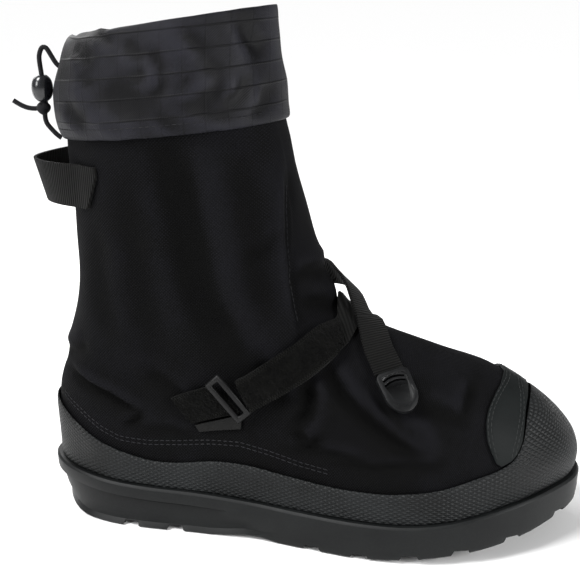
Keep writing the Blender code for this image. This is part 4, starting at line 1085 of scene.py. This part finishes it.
@dataclass
class Straps(Assembly):
    """Pull loop, instep strap with its ring, front strap, tab and bare side tag."""

    strap_turn: float = 31.0
    edge: float = 0.3 * MM
    pile_levels: int = 3
    pile_height: float = 0.9

    def build(self) -> None:
        """Dress the webbing and plastic, and sew the tape's edges."""
        self._piece("pull_loop", "loop_webbing", WEBBING, "webbing", self._upright)
        self._piece("instep_webbing", "instep_band", WEBBING, "webbing", self._slanted)
        self._piece("front_strap", "front_band", WEBBING, "webbing", self._falling)
        self._piece("side_tag", "bare_tag", BARE_LABEL, "webbing", self._slanted)
        self._piece("strap_ring", "slide_ring", RING_NYLON, "plastic", self._slanted)
        self._piece("pull_tab", "d_tab", ACETAL, "plastic", self._slanted)
        for node, name in (("strap_anchor", "anchor_tape"), ("instep_strap", "hook_tape")):
            tape = self._piece(node, name, PILE_TAPE, "hook_pile", self._slanted)
            self._fuzz(tape, len(node))
            self._edges(tape, name)

    def _piece(self, node: str, name: str, finish: Finish, slot: str,
               wrap: Callable[[np.ndarray], np.ndarray]) -> bpy.types.Object:
        """Copy a node, soften its edges, dress it and let it ride.

        Args:
            node: Frame node.
            name: Name of the piece.
            finish: Its finish.
            slot: Its material slot.
            wrap: Gives its pattern coordinates from its places.

        Returns:
            The finished piece.
        """
        item = copy_of_node(node, name)
        round_edges(item, self.edge, 50)
        set_wrap(item, wrap(points_of(item)))
        # Sharp edges drawn lighter, as wear and painted highlight.
        set_wear_and_painted_light(item, edge_wear_and_highlight(item, 0.35))
        smooth(item, 50.0)
        self.fit(item, finish, slot, node)
        return item

    @staticmethod
    def _upright(points: np.ndarray) -> np.ndarray:
        """Ribs that stand upright around the back of the shaft."""
        return around_foot(points, -0.005, 0.06)

    def _slanted(self, points: np.ndarray) -> np.ndarray:
        """Coordinates along and across the instep strap.

        Args:
            points: Places in metres.

        Returns:
            One row of wrap coordinates for each point.
        """
        turn = math.radians(self.strap_turn)
        along = points[:, 0] * math.cos(turn) + points[:, 2] * math.sin(turn)
        across = points[:, 2] * math.cos(turn) - points[:, 0] * math.sin(turn)
        return np.column_stack([along, across, points[:, 1]])

    @staticmethod
    def _falling(points: np.ndarray) -> np.ndarray:
        """Coordinates along and across the front strap.

        Args:
            points: Places in metres.

        Returns:
            One row of wrap coordinates for each point.
        """
        along = points @ np.array([0.45, -0.55, -0.70])
        across = points @ np.array([0.80, 0.55, 0.10])
        return np.column_stack([along, across, np.zeros(len(points))])

    def _fuzz(self, tape: bpy.types.Object, seed: int) -> None:
        """Raise the tape's loops as a rough field inside its flat edges.

        Args:
            tape: Tape to roughen.
            seed: Seed of the loops' heights.
        """
        apply_modifier(tape, "SUBSURF", levels=self.pile_levels,
                       render_levels=self.pile_levels, subdivision_type="SIMPLE")
        points = points_of(tape)
        normals = normals_of(tape)
        draw = np.random.default_rng(seed)
        outside = normals[:, 1] < -0.5
        rough = draw.uniform(0.0, self.pile_height, len(points)) * MM
        inside = self._inside(points)
        set_points(tape, points + normals * (rough * outside * inside)[:, None])

    def _inside(self, points: np.ndarray) -> np.ndarray:
        """How far each point lies inside the tape's long edges.

        Args:
            points: Places in metres.

        Returns:
            0 along the edges, 1 in the field.
        """
        wrap = self._slanted(points)
        along, across = wrap[:, 0], wrap[:, 1]
        inner = np.zeros(len(points))
        for index, value in enumerate(along):
            near = np.abs(along - value) < 4 * MM
            low, high = across[near].min(), across[near].max()
            inner[index] = min(across[index] - low, high - across[index])
        return np.clip((inner - 2.6 * MM) / (0.6 * MM), 0, 1)

    def _edges(self, tape: bpy.types.Object, name: str) -> None:
        """Zigzag rows along both long edges of a tape.

        Args:
            tape: Tape to sew.
            name: Its name, which starts the rows' names.
        """
        surface = Surface(tape)
        points = points_of(tape)
        wrap = self._slanted(points)
        turn = math.radians(self.strap_turn)
        for way, label in ((1.0, "top"), (-1.0, "foot")):
            inward = np.array([math.sin(turn), 0, -math.cos(turn)]) * way * 1.5 * MM
            line = []
            for value in np.linspace(wrap[:, 0].min() + 3 * MM, wrap[:, 0].max() - 3 * MM, 24):
                near = np.abs(wrap[:, 0] - value) < 3 * MM
                if near.any():
                    spot = points[near][(wrap[near, 1] * way).argmax()]
                    line.append(surface.outer(float(spot[0] + inward[0]),
                                              float(spot[2] + inward[2])))
            self.stitcher.row("%s_%s" % (name, label), surface.along(line, 1.2 * MM), "hook_pile",
                         EDGE_THREAD, zigzag=1.35 * MM)

@dataclass
class Drawcord(Assembly):
    """Elastic cord, its lock and its knot at the back of the cuff."""

    diameter: float = 2.7 * MM
    main_route: tuple[tuple[float, float, float], ...] = (
        (-21.2, -11.4, 262.8), (-23.7, -11.9, 265.2), (-26.3, -12.4, 269.7),
        (-28.6, -12.7, 273.4), (-31.0, -13.1, 273.4), (-32.6, -13.5, 269.2),
        (-32.5, -13.5, 264.1), (-32.0, -13.4, 259.0), (-32.0, -13.4, 251.5),
        (-32.0, -13.4, 244.4), (-33.0, -13.7, 241.3), (-36.4, -14.4, 240.3),
        (-40.6, -15.4, 240.8), (-44.5, -16.3, 242.5), (-48.1, -17.2, 244.9))
    second_route: tuple[tuple[float, float, float], ...] = (
        (-23.2, -11.6, 223.8), (-25.5, -12.1, 225.6), (-28.4, -12.7, 228.8),
        (-30.9, -13.1, 232.3), (-31.6, -13.2, 236.4), (-31.2, -12.6, 241.0),
        (-31.0, -12.2, 246.0), (-31.0, -12.2, 252.0), (-31.0, -12.2, 256.5))

    def build(self) -> None:
        """Run the cord and dress the lock and knot."""
        lock = copy_of_node("cord_lock", "lock_body")
        round_edges(lock, 0.3 * MM, 40)
        smooth(lock, 45.0)
        self.fit(lock, POLISHED_ABS, "gloss", "cord_lock")
        knot = copy_of_node("cord_knot", "overhand_knot")
        self._tie(knot)
        self.fit(knot, BRAID, "cord", "cord_knot")
        main = self._cord("drawcord", self.main_route, "drawcord_upper", "drawcord_tail")
        second = self._cord("drawcord_return", self.second_route, "drawcord_lower")

    @staticmethod
    def _tie(knot: bpy.types.Object) -> None:
        """Wind the knot's turns around it.

        Args:
            knot: Plain knot to shape.
        """
        apply_modifier(knot, "SUBSURF", levels=2, render_levels=2)
        points = points_of(knot)
        middle = points.mean(0)
        turn = np.arctan2(points[:, 1] - middle[1], points[:, 0] - middle[0])
        rise = np.sin(2 * turn + (points[:, 2] - middle[2]) / (1.6 * MM)) * 0.55 * MM
        set_points(knot, points + normals_of(knot) * (rise - 0.2 * MM)[:, None])
        smooth(knot)

    def _cord(self, name: str, route: Sequence[Sequence[float]],
              *nodes: str) -> bpy.types.Object:
        """A round cord along a route.

        Args:
            name: Name of the piece.
            route: Points in millimetres.
            nodes: CAD nodes that it replaces.

        Returns:
            The cord as a curve.
        """
        curve = bpy.data.curves.new(name, "CURVE")
        curve.dimensions = "3D"
        curve.bevel_depth = self.diameter / 2
        curve.bevel_resolution = 5
        curve.use_fill_caps = True
        spline = curve.splines.new("POLY")
        points = self._smoothed(route)
        spline.points.add(len(points) - 1)
        for index, point in enumerate(points):
            spline.points[index].co = (*point, 1.0)
        item = link_object(name, curve)
        self.fit(item, BRAID, "cord", *nodes)
        return item

    @staticmethod
    def _metres(route: Sequence[Sequence[float]]) -> list[Vector]:
        """A route in metres."""
        return [Vector(point) * MM for point in route]

    def _smoothed(self, route: Sequence[Sequence[float]]) -> list[Vector]:
        """Three points for each stretch, on a smooth curve through the route.

        Args:
            route: Points in millimetres.

        Returns:
            Points in metres.
        """
        line = self._metres(route)
        made = [line[0]]
        for index in range(len(line) - 1):
            before = line[max(index - 1, 0)]
            after = line[min(index + 2, len(line) - 1)]
            first, last = line[index], line[index + 1]
            for share in (1 / 3, 2 / 3, 1.0):
                square, cube = share ** 2, share ** 3
                made.append((first * 2 + (last - before) * share
                             + (before * 2 - first * 5 + last * 4 - after) * square
                             + (first * 3 - before - last * 3 + after) * cube) / 2)
        return made

    def _length(self, route: Sequence[Sequence[float]]) -> float:
        """Length of a cord along its route."""
        line = self._smoothed(route)
        return sum((last - first).length for first, last in zip(line[:-1], line[1:]))


@dataclass
class Studio:
    """Camera at the photo's angle, pale floor and soft lights."""

    place: tuple[float, float, float] = (0.2104, -0.5672, 0.3024)
    target: tuple[float, float, float] = (0.1057, 0.0, 0.1373)
    lens: float = 64.5
    sensor: float = 36.0
    roll: float = -0.16
    sun_power: float = 3.2
    sun_angle: float = 25.0
    sun_way: tuple[float, float, float] = (0.55, 0.45, -0.95)
    sky: float = 0.30
    floor_size: float = 200.0
    floor_drop: float = 0.0002
    floor_shade: float = 0.93
    # Name, place, width in metres and power in watts.
    lamps: tuple[tuple[str, tuple[float, float, float], float, float], ...] = (
        ("left", (-0.95, -0.95, 0.75), 0.5, 9.0), ("right", (1.20, -0.60, 0.55), 0.5, 14.0),
        ("rim", (-0.6, 0.7, 0.8), 0.7, 8.0))

    def build(self) -> None:
        """Make the camera, floor, lights and world."""
        scene = bpy.context.scene
        camera_data = bpy.data.cameras.new("camera")
        camera_data.lens = self.lens
        camera_data.sensor_width = self.sensor
        camera_data.clip_start = 0.01
        camera = link_object("camera", camera_data)
        camera.location = self.place
        look = Vector(self.target) - Vector(self.place)
        turn = look.to_track_quat("-Z", "Y").to_matrix().to_4x4()
        roll = Matrix.Rotation(math.radians(self.roll), 4, "Z")
        camera.rotation_euler = (turn @ roll).to_euler()
        scene.camera = camera
        scene.view_settings.view_transform = "Standard"
        self._floor()
        sun_data = bpy.data.lights.new("sun", "SUN")
        sun_data.energy = self.sun_power
        sun_data.angle = math.radians(self.sun_angle)
        sun = link_object("sun", sun_data)
        sun.rotation_euler = Vector(self.sun_way).to_track_quat("-Z", "Y").to_euler()
        for name, where, size, power in self.lamps:
            self._light(name, where, size, power)
        world = bpy.data.worlds.new("world")
        world.use_nodes = True
        background = world.node_tree.nodes["Background"]
        background.inputs["Color"].default_value = (1.0, 1.0, 1.0, 1.0)
        background.inputs["Strength"].default_value = self.sky
        scene.world = world

    def _floor(self) -> None:
        """Pale floor, far wider than the view."""
        bpy.ops.mesh.primitive_plane_add(size=self.floor_size, location=(0, 0, -self.floor_drop))
        floor = bpy.context.object
        floor.name = "floor"
        paint = bpy.data.materials.new("floor_paper")
        paint.use_nodes = True
        shader = paint.node_tree.nodes["Principled BSDF"]
        shader.inputs["Base Color"].default_value = (*[self.floor_shade] * 3, 1.0)
        shader.inputs["Roughness"].default_value = 0.9
        floor.data.materials.append(paint)

    def _light(self, name: str, where: Sequence[float], size: float, power: float) -> None:
        """One soft square light facing the shoe.

        Args:
            name: Name of the light.
            where: Its place in metres.
            size: Its width in metres.
            power: Its power in watts.
        """
        data = bpy.data.lights.new(name, "AREA")
        data.shape = "SQUARE"
        data.size = size
        data.energy = power
        light = link_object(name, data)
        light.location = where
        look = Vector(self.target) - Vector(where)
        light.rotation_euler = look.to_track_quat("-Z", "Y").to_euler()


def main() -> None:
    """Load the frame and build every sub-assembly."""
    logging.basicConfig(level=logging.INFO)
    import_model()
    deselect()
    wardrobe = Wardrobe()
    stitcher = Stitcher(wardrobe)
    Studio().build()
    for assembly in (Drawcord, Sole, Upper, Rand, ToePatch, Cuff, Straps):
        assembly(wardrobe, stitcher).build()
        LOG.info("finished %s", assembly.__name__)
    deselect()
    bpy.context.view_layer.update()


if __name__ == "__main__":
    main()
